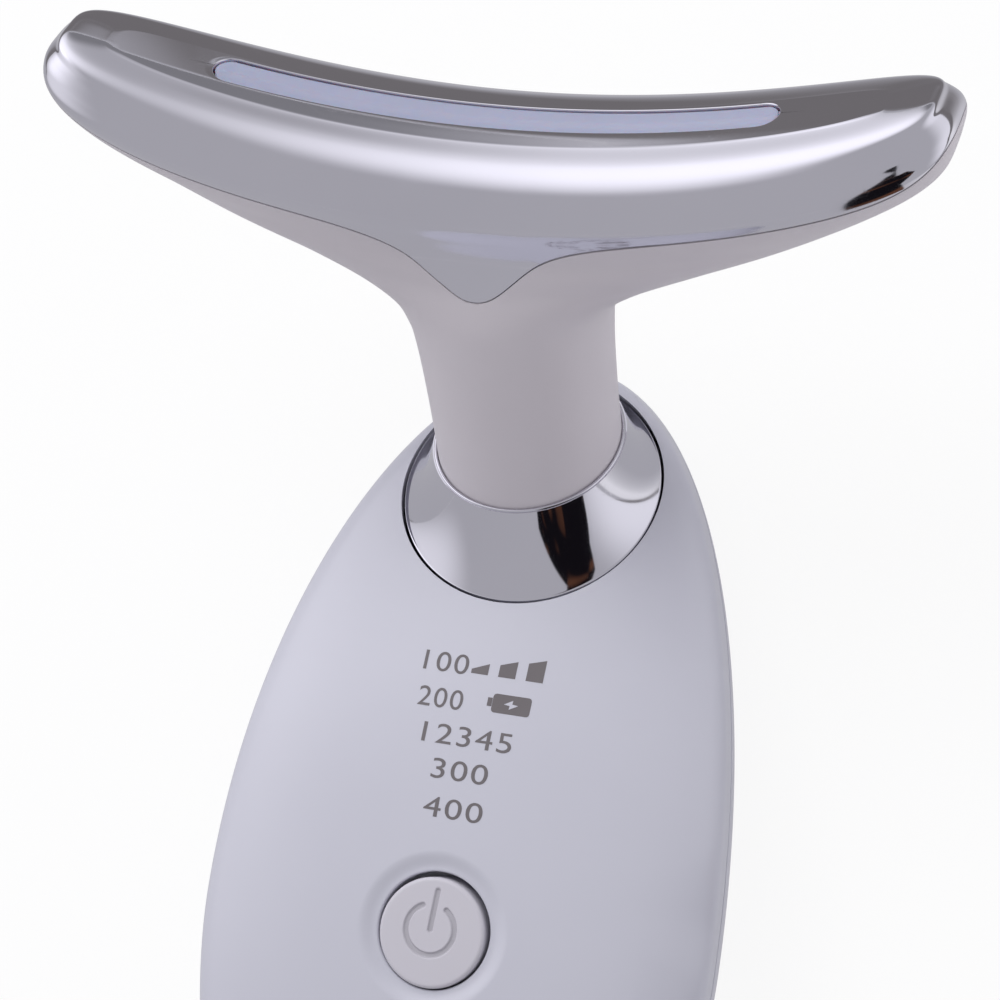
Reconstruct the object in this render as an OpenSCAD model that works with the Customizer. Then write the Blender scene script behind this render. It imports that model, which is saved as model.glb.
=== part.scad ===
// Facial toning device: egg-shaped handle, leaning neck and a T-shaped treatment head.
// It lies on its back: X across, Y towards the head, Z out of the front face, in millimetres.

/* [Handle] */
// Width of the handle at its widest
body_w = 56.2; // [50:0.1:62]
// Length from the widest line to the neck end
body_up = 63; // [58:0.5:68]
// Length from the widest line to the tail end
body_down = 56; // [50:0.5:62]
// Rise of the front face above its widest line
front_h = 7.4; // [6:0.1:9]
// Depth of the handle under the top of the widest line
back_d = 18.2; // [17:0.1:21]
// Straight side of the front shell under the widest line
side_h = 2.2; // [1.5:0.1:3]
// Radius of the arch that the seam follows in side view
arch_r = 166; // [150:1:220]
// Distance of the front's crown towards the tail
crown_y = 17.7; // [10:0.1:22]
// Wall of both shells
wall = 1.8; // [1.4:0.1:2.2]
// Gap of the seam between the shells
seam_gap = 0.15; // [0.1:0.05:0.3]
// Depth of the flat that the back rests on
rest_cut = 0.6; // [0.4:0.1:1]

/* [Collar] */
// Distance of the collar's centre from the neck end of the handle
collar_end = 14.7; // [13:0.1:17]
// Depth of the collar's centre under the front face
collar_sink = 1.9; // [1.6:0.1:2.2]
// Lean of the collar towards the head, in degrees
collar_lean = 25.9; // [23:0.1:29]
// Outer radius of the collar
collar_r = 14.3; // [13.8:0.1:14.8]
// Thickness of the collar's rim
collar_rim = 1.2; // [1:0.1:1.4]
// Height of the neck's foot above the collar's rim
foot_rise = 5.5; // [5:0.1:6]
// Offset of the neck's foot towards the head
foot_shift = 3.0; // [2.6:0.1:3.4]
// Lean of the foot's edge from the collar, in degrees
foot_tilt = 8.2; // [6:0.1:10]
// Radius of the bead around the foot
bead_r = 0.3; // [0.25:0.05:0.45]

/* [Neck and head] */
// Lean of the neck from the collar's axis, in degrees
neck_tilt = 18.4; // [16:0.1:21]
// Radius of the neck at its foot
neck_r = 9.95; // [9.4:0.05:10.3]
// Radius of the bore through the neck
neck_bore = 6.2; // [5.5:0.1:6.8]
// Width of the head from tip to tip
head_w = 94; // [88:0.5:100]
// Height of the treatment face above the foot
head_h = 39.8; // [37:0.1:43]
// Thickness of the head from front to back
head_t = 19.8; // [18:0.1:21]
// Radius of the treatment face's hollow
face_r = 135; // [125:1:180]
// Bow of the head's ends towards the back
head_bow = 0.8; // [0:0.1:2]
// Wall of the white head arms
arm_wall = 1.7; // [1.4:0.1:2]
// Wall of the chromed plate
plate_wall = 1.2; // [1:0.05:1.4]
// Depth of the plate's edge below the treatment face
plate_h = 6.7; // [6:0.1:7.4]
// Depth of the dip in the plate's edge
dip_h = 8.4; // [7:0.1:9.5]
// Half width of the dip at half its depth
dip_w = 6.2; // [5:0.1:7.5]
// Gap of the joint between plate and arms
plate_gap = 0.12; // [0.08:0.02:0.2]

/* [Light window] */
// Length of the light slot
slot_l = 59; // [50:0.5:64]
// Width of the light slot
slot_w = 4.0; // [3.4:0.1:4.4]
// Offset of the slot towards the back of the head
slot_back = 1.1; // [0.6:0.1:1.3]
// Gap around the window
window_gap = 0.12; // [0.08:0.02:0.2]
// Height of the window piece
window_h = 2.6; // [2:0.1:3]

/* [Button] */
// Place of the button along the handle
button_y = 0.5; // [-4:0.1:4]
// Radius of the button's cap
button_r = 5.75; // [5.5:0.05:6.5]
// Gap between the button and its hole
button_gap = 0.35; // [0.2:0.05:0.4]
// Rise of the button's top over the floor of its dish
button_rise = 0.55; // [0.4:0.05:0.8]
// Travel of the button
button_travel = 0.5; // [0.3:0.05:0.6]
// Radius of the dish around the button
dish_r = 8.2; // [7.6:0.1:9]
// Depth of the dish
dish_h = 0.55; // [0.4:0.05:0.8]
// Wall of the guide around the button
guide_wall = 1.6; // [1.2:0.1:2]

/* [Circuit board] */
// Width of the main board
board_w = 30; // [26:0.5:32]
// Distance of the main board from the collar
board_gap = 3.0; // [2.5:0.1:6]
// End of the main board towards the tail
board_tail = -34; // [-36:0.5:-30]
// Thickness of the boards
board_t = 1.2; // [0.8:0.1:1.6]
// Side of the square switch
switch_w = 6.0; // [5:0.1:6.5]
// Height of the switch's body
switch_h = 3.1; // [2.6:0.1:3.4]
// Radius of the screws' shanks
screw_r = 0.95; // [0.8:0.05:1.1]

/* [Battery and motor] */
// Length of the battery
battery_l = 34; // [30:0.5:36]
// Width of the battery
battery_w = 20; // [16:0.5:24]
// Thickness of the battery
battery_t = 6.4; // [5:0.1:7]
// Radius of the motor's can
motor_r = 3.4; // [3:0.1:3.6]
// Length of the motor's can
motor_l = 12; // [10:0.5:13]
// Place of the motor along the handle
motor_y = -34; // [-36:0.5:-31]

/* [Hidden] */
$fn = 48;

// outline exponents of the neck end and the tail end, and crown exponents of front and back
up_e = 2.0;
down_e = 1.8;
front_e = 2.4;
back_e = 2.2;
// distance of the back's crown towards the tail
back_crown = 8;
// steps of the lofted surfaces, outside and inside, and the share at which a crown is closed flat
cols = 48;
rows = 14;
inner_cols = 36;
inner_rows = 9;
crown_end = 0.03;
// running distance between still parts, overshoot of a cut, and length of a cut that goes right through
fit = 0.1;
cut = 1;
through = 40;

// ---- small helpers
function power(v, p) = sign(v) * pow(abs(v), p);
function dome(s, e) = pow(max(0, 1 - pow(s, e)), 1 / e);
function arch(y) = -y * y / (2 * arch_r);
function seam_z(y) = arch(y) - side_h;

// ---- handle surfaces: rings that shrink from the outline to the crown
function rim(t, o) = let (c = cos(t), e = c > 0 ? up_e : down_e, a = (c > 0 ? body_up : body_down) - o)
    [(body_w / 2 - o) * power(sin(t), 2 / e), a * power(c, 2 / e)];
function front_pt(t, s, o) = let (p = rim(t, o), y = p[1] * s - crown_y * (1 - s))
    [p[0] * s, y, arch(y) + (front_h - o) * dome(s, front_e)];
function back_pt(t, s, o) = let (p = rim(t, o), z = seam_z(p[1]) - seam_gap)
    [p[0] * s, p[1] * s - back_crown * (1 - s), z + (-back_d + o - z) * dome(s, back_e)];
// height of the front face on the middle line
function front_z(y, o = 0) = let (e = y > -crown_y ? body_up - o : -(body_down - o))
    arch(y) + (front_h - o) * dome((y + crown_y) / (e + crown_y), front_e);

// solid of stacked rings: side walls between rings, strips across the first and last ring
module ring_solid(pts, n) {
    m = len(pts) / n - 1;
    polyhedron(pts, concat(
        [for (j = [0:m - 1], i = [0:n - 1]) [j * n + i, j * n + (i + 1) % n, (j + 1) * n + (i + 1) % n]],
        [for (j = [0:m - 1], i = [0:n - 1]) [j * n + i, (j + 1) * n + (i + 1) % n, (j + 1) * n + i]],
        strip(n, 0, true), strip(n, m * n, false)));
}
// triangles of a cap that joins point i to its mirror point n - i
function strip(n, b, flip) = [for (i = [0:n / 2 - 1]) for (f = [
        [b + i, b + i + 1, b + (n - i) % n], [b + i + 1, b + (n - i - 1) % n, b + (n - i) % n]])
    if (f[0] != f[1] && f[1] != f[2] && f[0] != f[2]) flip ? [f[0], f[2], f[1]] : f];

module front_body(o, drop, n, m) ring_solid(concat(
    [for (i = [0:n - 1]) let (p = rim(i * 360 / n, o)) [p[0], p[1], arch(p[1]) - drop]],
    [for (j = [0:m - 1], i = [0:n - 1]) front_pt(i * 360 / n, cos(j * 90 / m), o)],
    [for (i = [0:n - 1]) front_pt(i * 360 / n, crown_end, o)]), n);
module back_body(o, lift, n, m) mirror([0, 0, 1]) ring_solid(concat(
    [for (i = [0:n - 1]) let (p = rim(i * 360 / n, o)) [p[0], p[1], -(seam_z(p[1]) - seam_gap + lift)]],
    [for (j = [lift > 0 ? 0 : 1:m - 1], i = [0:n - 1]) let (p = back_pt(i * 360 / n, cos(j * 90 / m), o))
        [p[0], p[1], -p[2]]],
    [for (i = [0:n - 1]) let (p = back_pt(i * 360 / n, crown_end, o)) [p[0], p[1], -p[2]]]), n);

// ---- head surface: rings along the neck, each [level, half width, half depth, exponent, inset lift]
half_w = head_w / 2;
half_t = head_t / 2;
neck_low = -13;
neck_top = 18;
stations = [
    [neck_low, neck_r, neck_r, 2, 0],
    [0, neck_r, neck_r, 2, 0],
    [7, neck_r + 0.1, neck_r + 0.1, 2, 0],
    [14, neck_r + 0.45, neck_r + 0.25, 2, 0],
    [neck_top, neck_r + 1.15, neck_r + 0.35, 2, 0],
    [head_h - 18.8, neck_r + 3.6, neck_r + 0.4, 1.85, 0.6],
    [head_h - 16.3, 0.41 * half_w, half_t + 0.1, 1.8, 0.9],
    [head_h - 14.3, 0.59 * half_w, half_t - 0.4, 1.8, 1],
    [head_h - 12.3, 0.75 * half_w, half_t - 0.5, 2.1, 1],
    [head_h - 10.3, 0.89 * half_w, half_t - 0.6, 2.4, 0.9],
    [head_h - 7.8, 0.975 * half_w, half_t, 3.2, 0.5],
    [head_h - 5.3, half_w, half_t + 0.7, 3.6, 0],
    [head_h - 3.3, half_w, half_t, 3.4, -0.3],
    [head_h - 1.5, 0.97 * half_w, half_t - 1.6, 3.6, -0.8],
    [head_h - 0.4, 0.945 * half_w, half_t - 3.7, 4.2, -1],
    [head_h, 0.86 * half_w, half_t - 6.5, 4.5, -1]];
// stations at which the hollow of the arms and the plate begin
arm_row = 4;
plate_row = 5;
last_row = len(stations) - 1;
// steps of the loft along the head, along the plate and along both hollows, and of the plate's edge
head_rows = 30;
plate_rows = 22;
hollow_rows = 16;
edge_steps = 44;
function face_rise(x) = x * x / (2 * face_r);
function row_at(i) = stations[max(0, min(last_row, i))];
// smooth curve through four neighbouring stations
function blend(a, b, c, d, u) = 0.5 * (2 * b + (c - a) * u + (2 * a - 5 * b + 4 * c - d) * u * u
    + (3 * b - 3 * c + d - a) * u * u * u);
function station(v) = let (i = min(floor(v), last_row - 1))
    blend(row_at(i - 1), row_at(i), row_at(i + 1), row_at(i + 2), v - i);
// the columns crowd towards the corners, and the ends of the head bow towards the back
function head_pt(k, t, o) = let (w = t - 7 * sin(4 * t),
    x = (k[1] - o) * power(cos(w), 2 / k[3]), y = -(k[2] - o) * power(sin(w), 2 / k[3]))
    [x, y + head_bow * x * x / (half_w * half_w), k[0] + o * k[4] + face_rise(x)];
module head_body(o, first, n, m) ring_solid([for (j = [0:m], i = [0:n - 1])
    head_pt(station(first + (last_row - first) * j / m), i * 360 / n, o)], n);

// edge of the chromed plate: a line parallel to the face with a dip over the neck, raised at the tips
tip_raise = 3;
function plate_edge(x) = face_rise(x) + head_h - plate_h - dip_h / (1 + pow(abs(x) / dip_w, 2.3))
    + tip_raise * pow(abs(x) / half_w, 16);
module above_edge(gap) {
    side = half_w + 2;
    top = head_h + face_rise(half_w) + 5;
    rotate([90, 0, 0]) linear_extrude(2 * head_t, center = true) polygon(concat(
        [[side, top], [-side, top]],
        [for (i = [-edge_steps:edge_steps]) let (x = side * i / edge_steps) [x, plate_edge(x) - gap]]));
}
// band that follows the hollow face between two heights, seen from the front
module face_band(x0, x1, z0, z1, d, n = 16)
    rotate([90, 0, 0]) linear_extrude(d, center = true) polygon(concat(
    [for (i = [0:n]) let (x = x0 + (x1 - x0) * i / n) [x, z0 + face_rise(x)]],
    [for (i = [n:-1:0]) let (x = x0 + (x1 - x0) * i / n) [x, z1 + face_rise(x)]]));
module slot_shape(gap) hull() for (s = [-1, 1])
    translate([s * (slot_l - slot_w) / 2, slot_back]) circle(slot_w / 2 - gap);

// ---- frames of the tilted pieces
collar_y = body_up - collar_end;
button_z = front_z(button_y);
collar_z = front_z(collar_y) - collar_sink;
module at_button() translate([0, button_y, button_z]) children();
module at_collar() translate([0, collar_y, collar_z]) rotate([-collar_lean, 0, 0]) children();
module at_foot() at_collar() translate([0, foot_shift, foot_rise]) rotate([-foot_tilt, 0, 0]) children();
module at_neck() at_collar() translate([0, foot_shift, foot_rise]) rotate([-neck_tilt, 0, 0]) children();
module at_motor() translate([0, motor_y, motor_z]) rotate([0, 90, 0]) children();
neck_lean = collar_lean + neck_tilt;
foot_y = collar_y + foot_shift * cos(collar_lean) + foot_rise * sin(collar_lean);
foot_z = collar_z - foot_shift * sin(collar_lean) + foot_rise * cos(collar_lean);
function head_y(p) = foot_y + p[1] * cos(neck_lean) + p[2] * sin(neck_lean);
function neck_place(y, z) = [0, head_y([0, y, z]), foot_z - y * sin(neck_lean) + z * cos(neck_lean)];
reach = max([for (v = [last_row - 5:0.25:last_row], t = [0:7.5:352.5]) head_y(head_pt(station(v), t, 0))]);
// the origin is under the middle of the whole, on the surface it lies on
base_z = -back_d + rest_cut;
module place() translate([0, (body_down - reach) / 2, -base_z]) children();

// ---- sizes and places that follow from the driving ones
// screws, and how far they bite into their bosses
screw_play = 0.15;
screw_bite = 3.4;
screw_spare = 0.3;
pan_h = 1.1;
pan_share = 1.9;
// seat, clamp and screws of the neck
seat_h = 1.4;
clamp_z = collar_rim + seat_h;
clamp_t = 1.8;
clamp_lip = 3;
clamp_r = neck_r + clamp_lip;
neck_screw_r = (neck_bore + neck_r) / 2;
neck_screw_angles = [25, 155, 205, 335];
collar_fit = 0.15;
collar_wall = 1.6;
bead_fit = 0.24;
// button, its guide and its switch
button_top = button_rise - dish_h;
hole_r = button_r + button_gap;
guide_h = 1.4;
flange_t = 0.8;
flange_r = hole_r + 0.8;
flange_z = -dish_h - wall - guide_h - fit;
plunger_r = 1.7;
plunger_rise = button_travel + 0.2;
// main board, its screws, the pins beside it and its lamps
board_z = button_z + flange_z - flange_t - fit / 2 - plunger_rise - switch_h;
board_top = collar_y - collar_r - board_gap;
under_board = board_z - board_t;
screw_inset = 3.2;
board_screws_at = [for (x = [-1, 1], y = [board_tail + 8, button_y + 1.5])
    [x * (board_w / 2 - screw_inset), y]];
board_post_r = 2.6;
pin_r = 1;
pin_l = 2.2;
pin_play = 0.05;
post_r = 2.1;
pin_x = board_w / 2 + post_r + 0.9;
case_pins_at = [for (x = [-1, 1], y = [-18, 14]) [x * pin_x, y]];
lamp = [1.6, 1, 0.8];
lamp_room = 0.3;
lamps_under = [[-1, 2.8], [2.6, 2.4], [6.2, 2], [-5, 6.8], [3.9, 6.6], [0, 10.6], [0, 14.2], [0, 18.1]];
lamps_at = [for (p = lamps_under) [p[0], board_top - p[1]]];
// floor of the back shell, battery and motor on it
floor_z = -back_d + wall;
rib_t = 1.2;
rib_h = 1.2;
pad_z = floor_z + rib_h;
pad_t = 1;
fence_h = pad_z + pad_t + 1.5;
fence_gap = 0.3;
battery_y = 5;
battery_edge = 1.2;
sleeve_t = 0.8;
sleeve_l = 10;
shaft_r = 0.5;
motor_z = floor_z + motor_r + sleeve_t + 1.6;
wire_r = 0.5;
// charging inlet
port_w = 9.0;
port_h = 3.3;
port_l = 7.4;
port_wall = 0.35;
port_gap = 0.3;
port_y = -body_down + 2.6;
port_z = seam_z(body_down) + 1.6;
port_board_l = 8;
port_board_y = port_y + 7.6;
port_board_z = port_z - port_h / 2 - board_t;
// lamp board in the head
lamp_board_z = head_h - 6.2;
lamp_board_l = 54;
lamp_board_w = 10.4;
lamp_board_t = 1;
contact_x = lamp_board_l / 2 - 1.4;

// ---- handle
module board_posts(r, h) for (p = board_screws_at) translate([p[0], p[1], board_z]) cylinder(r = r, h = h);
module case_posts(r, h) for (p = case_pins_at) translate([p[0], p[1], seam_z(p[1])]) cylinder(r = r, h = h);
module port_cut() translate([0, 0, port_z]) rotate([90, 0, 0])
    linear_extrude(body_down + 5) port_shape(-port_gap);

module front_shell() color([0.9, 0.9, 0.93]) difference() {
    front_body(0, side_h, cols, rows);
    // hollow of the shell, less the bosses that stand in it
    difference() {
        front_body(wall, side_h + cut, inner_cols, inner_rows);
        at_collar() translate([0, 0, -clamp_z]) cylinder(r = collar_r + collar_wall, h = through);
        at_button() translate([0, 0, flange_z + fit]) cylinder(r = hole_r + guide_wall, h = through);
        board_posts(board_post_r, through);
        case_posts(post_r, through);
    }
    // soft dish and hole of the button
    at_button() translate([0, 0, -dish_h]) rotate_extrude() polygon([[0, 0], [hole_r + 0.45, 0],
        [dish_r - 0.7, dish_h * 0.45], [dish_r, dish_h], [dish_r + 0.6, dish_h + cut], [0, dish_h + cut]]);
    at_button() cylinder(r = hole_r, h = through, center = true);
    // seat of the collar and passage of the neck
    at_collar() translate([0, 0, -collar_rim]) cylinder(r = collar_r + collar_fit, h = through);
    at_neck() cylinder(r = neck_r + fit, h = through, center = true);
    board_posts(screw_r + pin_play, screw_bite + screw_spare);
    translate([0, 0, -cut]) case_posts(pin_r + pin_play, pin_l + 0.2 + cut);
    port_cut();
}

// rib on the floor of the back shell, centred at x, y and up to a height
module rib(x, y, w, l, top) translate([x - w / 2, y - l / 2, -back_d]) cube([w, l, back_d + top]);
module back_ribs() {
    rail_x = 3.5;
    for (x = [-1, 1]) rib(x * rail_x, motor_y, rib_t, 2 * (motor_r + rib_t), motor_z - rib_t);
    for (x = [-1, 1]) rib(x * rail_x, port_board_y, rib_t, port_board_l - 0.6, port_board_z);
    for (y = [-1, 0, 1]) rib(0, battery_y + y * (battery_l / 2 - 5), battery_w - 1, rib_t, pad_z);
    for (x = [-1, 1])
        rib(x * (battery_w / 2 + fence_gap + rib_t / 2), battery_y, rib_t, battery_l - 14, fence_h);
    for (y = [-1, 1])
        rib(0, battery_y + y * (battery_l / 2 + fence_gap + rib_t / 2), battery_w / 2, rib_t, fence_h);
}
module back_shell() color([0.88, 0.88, 0.92]) {
    difference() {
        back_body(0, 0, cols, rows);
        difference() {
            back_body(wall, cut, inner_cols, inner_rows);
            difference() {
                back_ribs();
                at_motor() cylinder(r = motor_r + sleeve_t + 0.03, h = motor_l + 4, center = true);
            }
            translate([0, 0, -seam_gap - back_d]) case_posts(post_r, back_d);
        }
        // flat that the back rests on
        translate([-body_w, -2 * body_down, base_z - through])
            cube([2 * body_w, 2 * (body_up + body_down), through]);
        port_cut();
    }
    translate([0, 0, -seam_gap - cut]) case_posts(pin_r, pin_l + cut);
}

// ---- collar: a dished slope from its rim to the tilted circle of the neck's foot
module collar_ring() color([0.75, 0.76, 0.8]) at_collar() difference() {
    slope_rows = 5;
    foot_r = neck_r + bead_fit + 2 * bead_r + 0.2;
    ring_solid(concat(
        [for (i = [0:cols - 1]) let (t = i * 360 / cols) [collar_r * sin(t), collar_r * cos(t), -collar_rim]],
        [for (j = [0:slope_rows], i = [0:cols - 1])
            let (t = i * 360 / cols, u = j / slope_rows, s = 2.4 * u * (1 - u),
                a = [collar_r * sin(t), collar_r * cos(t), 0],
                b = [foot_r * sin(t), foot_shift + foot_r * cos(t) * cos(foot_tilt),
                    foot_rise - foot_r * cos(t) * sin(foot_tilt)],
                p = a + (b - a) * u)
            [p[0] * (1 - s * 0.04), p[1] - s * 0.04 * (p[1] - foot_shift * u), p[2] - s * 0.5]]), cols);
    translate([0, foot_shift, foot_rise]) rotate([-neck_tilt, 0, 0])
        cylinder(r = neck_r + fit, h = through, center = true);
}
module collar_bead() color([0.8, 0.8, 0.84]) at_foot() rotate_extrude($fn = 72)
    translate([neck_r + bead_fit + bead_r, 0]) intersection() {
        translate([0, bead_r * 0.2]) circle(bead_r);
        translate([-bead_r, 0]) square(2 * bead_r);
    }

// ---- neck and head
module neck_shell() color([0.86, 0.85, 0.85]) difference() {
    at_neck() difference() {
        head_body(0, 0, cols, head_rows);
        above_edge(plate_gap);
        head_body(arm_wall, arm_row, inner_cols, hollow_rows);
        translate([0, 0, neck_low - cut]) cylinder(r = neck_bore, h = neck_top - neck_low + cut + 4);
    }
    at_collar() translate([0, 0, -clamp_z - through]) cylinder(r = 3 * neck_r, h = through);
    at_collar() translate([0, 0, -clamp_z - cut])
        neck_screw_spots(screw_r + pin_play, screw_bite + screw_spare + cut);
}
module head_plate() color([0.78, 0.79, 0.82]) at_neck() difference() {
    intersection() {
        head_body(0, plate_row, cols, plate_rows);
        above_edge(0);
    }
    head_body(plate_wall, plate_row, inner_cols, hollow_rows);
    translate([0, 0, head_h - 5]) linear_extrude(through) slot_shape(0);
}
window_sink = 0.15;
module light_window() color([0.8, 0.82, 0.95]) at_neck() intersection() {
    face_band(-half_w, half_w, head_h - window_h, head_h - window_sink, head_t, 30);
    translate([0, 0, head_h - 8]) linear_extrude(through) slot_shape(window_gap);
}
module head_board() color([0.1, 0.35, 0.2]) at_neck() translate([0, 0.5, lamp_board_z])
    linear_extrude(lamp_board_t) difference() {
        square([lamp_board_l, lamp_board_w], center = true);
        for (x = [-1, 1]) translate([x * 20, -3.2]) circle(1.1);
    }
module treatment_lamps() color([0.9, 0.9, 0.7]) at_neck() for (i = [-3:3])
    translate([i * 7.6 - 1.4, slot_back - 1.75, lamp_board_z + lamp_board_t]) cube([2.8, 3.5, 1.3]);
// the heater film and the thermistor lie behind the front wall of the plate
film_y = -(half_t - plate_wall - 0.4);
module heater_film() color([0.75, 0.5, 0.2]) at_neck()
    translate([0, film_y, 0]) face_band(-18, 18, head_h - 6.2, head_h - 3.7, 0.3);
module thermistor() color([0.1, 0.1, 0.1]) at_neck() translate([0, film_y + 0.95, head_h - 4.7])
    rotate([0, 90, 0]) cylinder(r = 0.65, h = 3.2, center = true);
module plate_contacts() color([0.85, 0.75, 0.4]) at_neck() for (x = [-1, 1])
    translate([x * contact_x, -4.2, lamp_board_z + lamp_board_t]) {
        translate([-1.2, -1.5, 0]) cube([2.4, 3, 0.4]);
        translate([-0.15, -1.5, 0])
            cube([0.3, 3, head_h + face_rise(contact_x) - plate_wall - lamp_board_z - 1.85]);
    }

// round wire through a list of places
module wire(path, r) for (i = [0:len(path) - 2]) {
    d = path[i + 1] - path[i];
    translate(path[i]) sphere(r * 1.06);
    translate(path[i]) rotate([0, acos(d[2] / norm(d)), atan2(d[1], d[0])]) cylinder(r = r, h = norm(d));
}
module head_wires() color([0.7, 0.15, 0.12]) for (x = [-1.6, 0, 1.6])
    translate([x, 0, 0]) wire([[0, board_top - 2, under_board - 1.1 * wire_r],
        [0, board_top + 6, board_z - 7], neck_place(0, neck_low - 0.5),
        neck_place(0, lamp_board_z - fit)], wire_r);

// ---- neck clamp under the front shell
module neck_screw_spots(r, h) for (a = neck_screw_angles)
    rotate(a) translate([neck_screw_r, 0, 0]) cylinder(r = r, h = h);
module neck_clamp() color([0.6, 0.6, 0.62]) at_collar() translate([0, 0, -clamp_z - clamp_t]) difference() {
    cylinder(r = clamp_r, h = clamp_t - 0.02);
    translate([0, 0, -cut]) cylinder(r = neck_bore - 1, h = clamp_t + 2 * cut);
    translate([0, 0, -cut]) neck_screw_spots(screw_r + screw_play, clamp_t + 2 * cut);
}
// pan-head screw, pointing up, its head's top at zero
module screw(l) {
    cylinder(r = screw_r, h = l);
    translate([0, 0, -pan_h]) cylinder(r = screw_r * pan_share, h = pan_h);
}
module neck_screws() color([0.7, 0.7, 0.72]) at_collar() translate([0, 0, -clamp_z - clamp_t])
    for (a = neck_screw_angles) rotate(a) translate([neck_screw_r, 0, 0]) screw(clamp_t + screw_bite);

// ---- button and switch
module power_button() color([0.92, 0.91, 0.94]) at_button() {
    rotate_extrude() polygon([[0, flange_z], [button_r, flange_z], [button_r, button_top - 0.5],
        [button_r - 0.15, button_top - 0.15], [button_r - 0.5, button_top], [0, button_top]]);
    translate([0, 0, flange_z - flange_t]) cylinder(r = flange_r, h = flange_t);
}
module switch_plunger() color([0.15, 0.15, 0.15]) translate([0, button_y, board_z + switch_h - 0.3])
    cylinder(r = plunger_r, h = plunger_rise + 0.3);
module switch_body() color([0.2, 0.2, 0.22]) translate([0, button_y, board_z]) difference() {
    translate([-switch_w / 2, -switch_w / 2, 0]) cube([switch_w, switch_w, switch_h]);
    translate([0, 0, switch_h - 0.5 - button_travel]) cylinder(r = plunger_r + 0.08, h = 2);
}

// ---- main board and what it carries
module main_board() color([0.1, 0.35, 0.2]) translate([0, 0, under_board]) difference() {
    linear_extrude(board_t) hull() {
        for (x = [-1, 1]) translate([x * (board_w / 2 - 3), board_tail + 7]) circle(3);
        for (x = [-1, 1]) translate([x * (board_w / 2 - 8), board_tail + 3]) circle(3);
        for (x = [-1, 1]) translate([x * (board_w / 2 - 4), board_top - 3]) circle(3);
    }
    for (p = board_screws_at) translate([p[0], p[1], -cut])
        cylinder(r = screw_r + screw_play, h = board_t + 2 * cut);
}
chip = [7, 7, 1.6];
module controller_chip() color([0.08, 0.08, 0.09]) translate([-4, 8, under_board - chip[2]]) cube(chip);
coil_h = 3;
module power_coil() color([0.3, 0.3, 0.32]) translate([7.6, -19.5, under_board - coil_h])
    cylinder(r = 3.5, h = coil_h);
capacitor = [1.6, 3.2, 1.2];
module capacitors() color([0.55, 0.4, 0.25]) for (i = [0:3])
    translate([-9 + i * 3, -14, under_board - capacitor[2]]) cube(capacitor);
module level_lamps() color([0.95, 0.95, 0.85]) for (p = lamps_at)
    translate([p[0] - lamp[0] / 2, p[1] - lamp[1] / 2, board_z]) cube(lamp);
// block of light wells between the lamps and the front shell
module lamp_baffle() color([0.1, 0.1, 0.1]) difference() {
    baffle_w = 18;
    steps = 8;
    tail = board_top - 20.2;
    l = 19.6;
    translate([-baffle_w / 2, 0, 0]) rotate([90, 0, 90]) linear_extrude(baffle_w) polygon(concat(
        [[tail, board_z], [tail + l, board_z]],
        [for (i = [steps:-1:0]) let (y = tail + l * i / steps)
            [y, front_z(y, wall) - 0.75 - 0.012 * (y - tail)]]));
    for (p = lamps_at) translate([p[0], p[1], board_z - cut]) linear_extrude(through)
        square([lamp[0] + 2 * lamp_room, lamp[1] + 2 * lamp_room], center = true);
}
module board_screws() color([0.7, 0.7, 0.72]) for (p = board_screws_at)
    translate([p[0], p[1], under_board]) screw(board_t + screw_bite);

// ---- battery
module battery_pad() color([0.2, 0.2, 0.2]) translate([0, battery_y, pad_z]) linear_extrude(pad_t)
    square([battery_w - 2, battery_l - 2], center = true);
module battery() color([0.7, 0.72, 0.78]) translate([0, battery_y, pad_z + pad_t])
    linear_extrude(battery_t) offset(r = battery_edge)
        square([battery_w - 2 * battery_edge, battery_l - 2 * battery_edge], center = true);
module battery_leads() color([0.7, 0.15, 0.12]) for (x = [-1.5, 1.5]) let (
    y = battery_y - battery_l / 2, z = pad_z + pad_t + battery_t - 1.2)
    wire([[x, y - 1.1 * wire_r, z], [x, y - 3, z + 0.6],
        [x * 1.6, y - 5, under_board - 1.1 * wire_r]], wire_r);

// ---- charging inlet
module port_shape(o) hull() for (s = [-1, 1])
    translate([s * (port_w - port_h) / 2, 0]) circle(port_h / 2 - o);
module charge_port() color([0.7, 0.7, 0.74]) translate([0, port_y + port_l, port_z]) rotate([90, 0, 0]) {
    difference() {
        linear_extrude(port_l) port_shape(0);
        translate([0, 0, 1]) linear_extrude(port_l) port_shape(port_wall);
    }
    translate([-3.3, -0.35, 0.5]) cube([6.6, 0.7, port_l - 1.3]);
}
module port_board() color([0.1, 0.35, 0.2]) translate([0, port_board_y, port_board_z])
    linear_extrude(board_t) square([port_w, port_board_l], center = true);

// ---- vibration motor
module motor_can() color([0.72, 0.72, 0.75]) at_motor() difference() {
    cylinder(r = motor_r, h = motor_l, center = true);
    translate([0, 0, 2 - motor_l / 2]) cylinder(r = shaft_r + 0.05, h = motor_l);
}
module motor_sleeve() color([0.2, 0.2, 0.2]) at_motor() translate([0, 0, 1 - motor_l / 2]) difference() {
    cylinder(r = motor_r + sleeve_t, h = sleeve_l);
    translate([0, 0, -cut]) cylinder(r = motor_r + 0.02, h = sleeve_l + 2 * cut);
}
// shaft with the half-round weight that makes it shake
module motor_rotor() color([0.6, 0.6, 0.65]) at_motor() {
    translate([0, 0, 2.5 - motor_l / 2]) cylinder(r = shaft_r, h = motor_l + 2.5);
    translate([0, 0, motor_l / 2 + 0.6]) rotate(-90) rotate_extrude(angle = 180) square([motor_r - 0.5, 3.6]);
}

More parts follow.
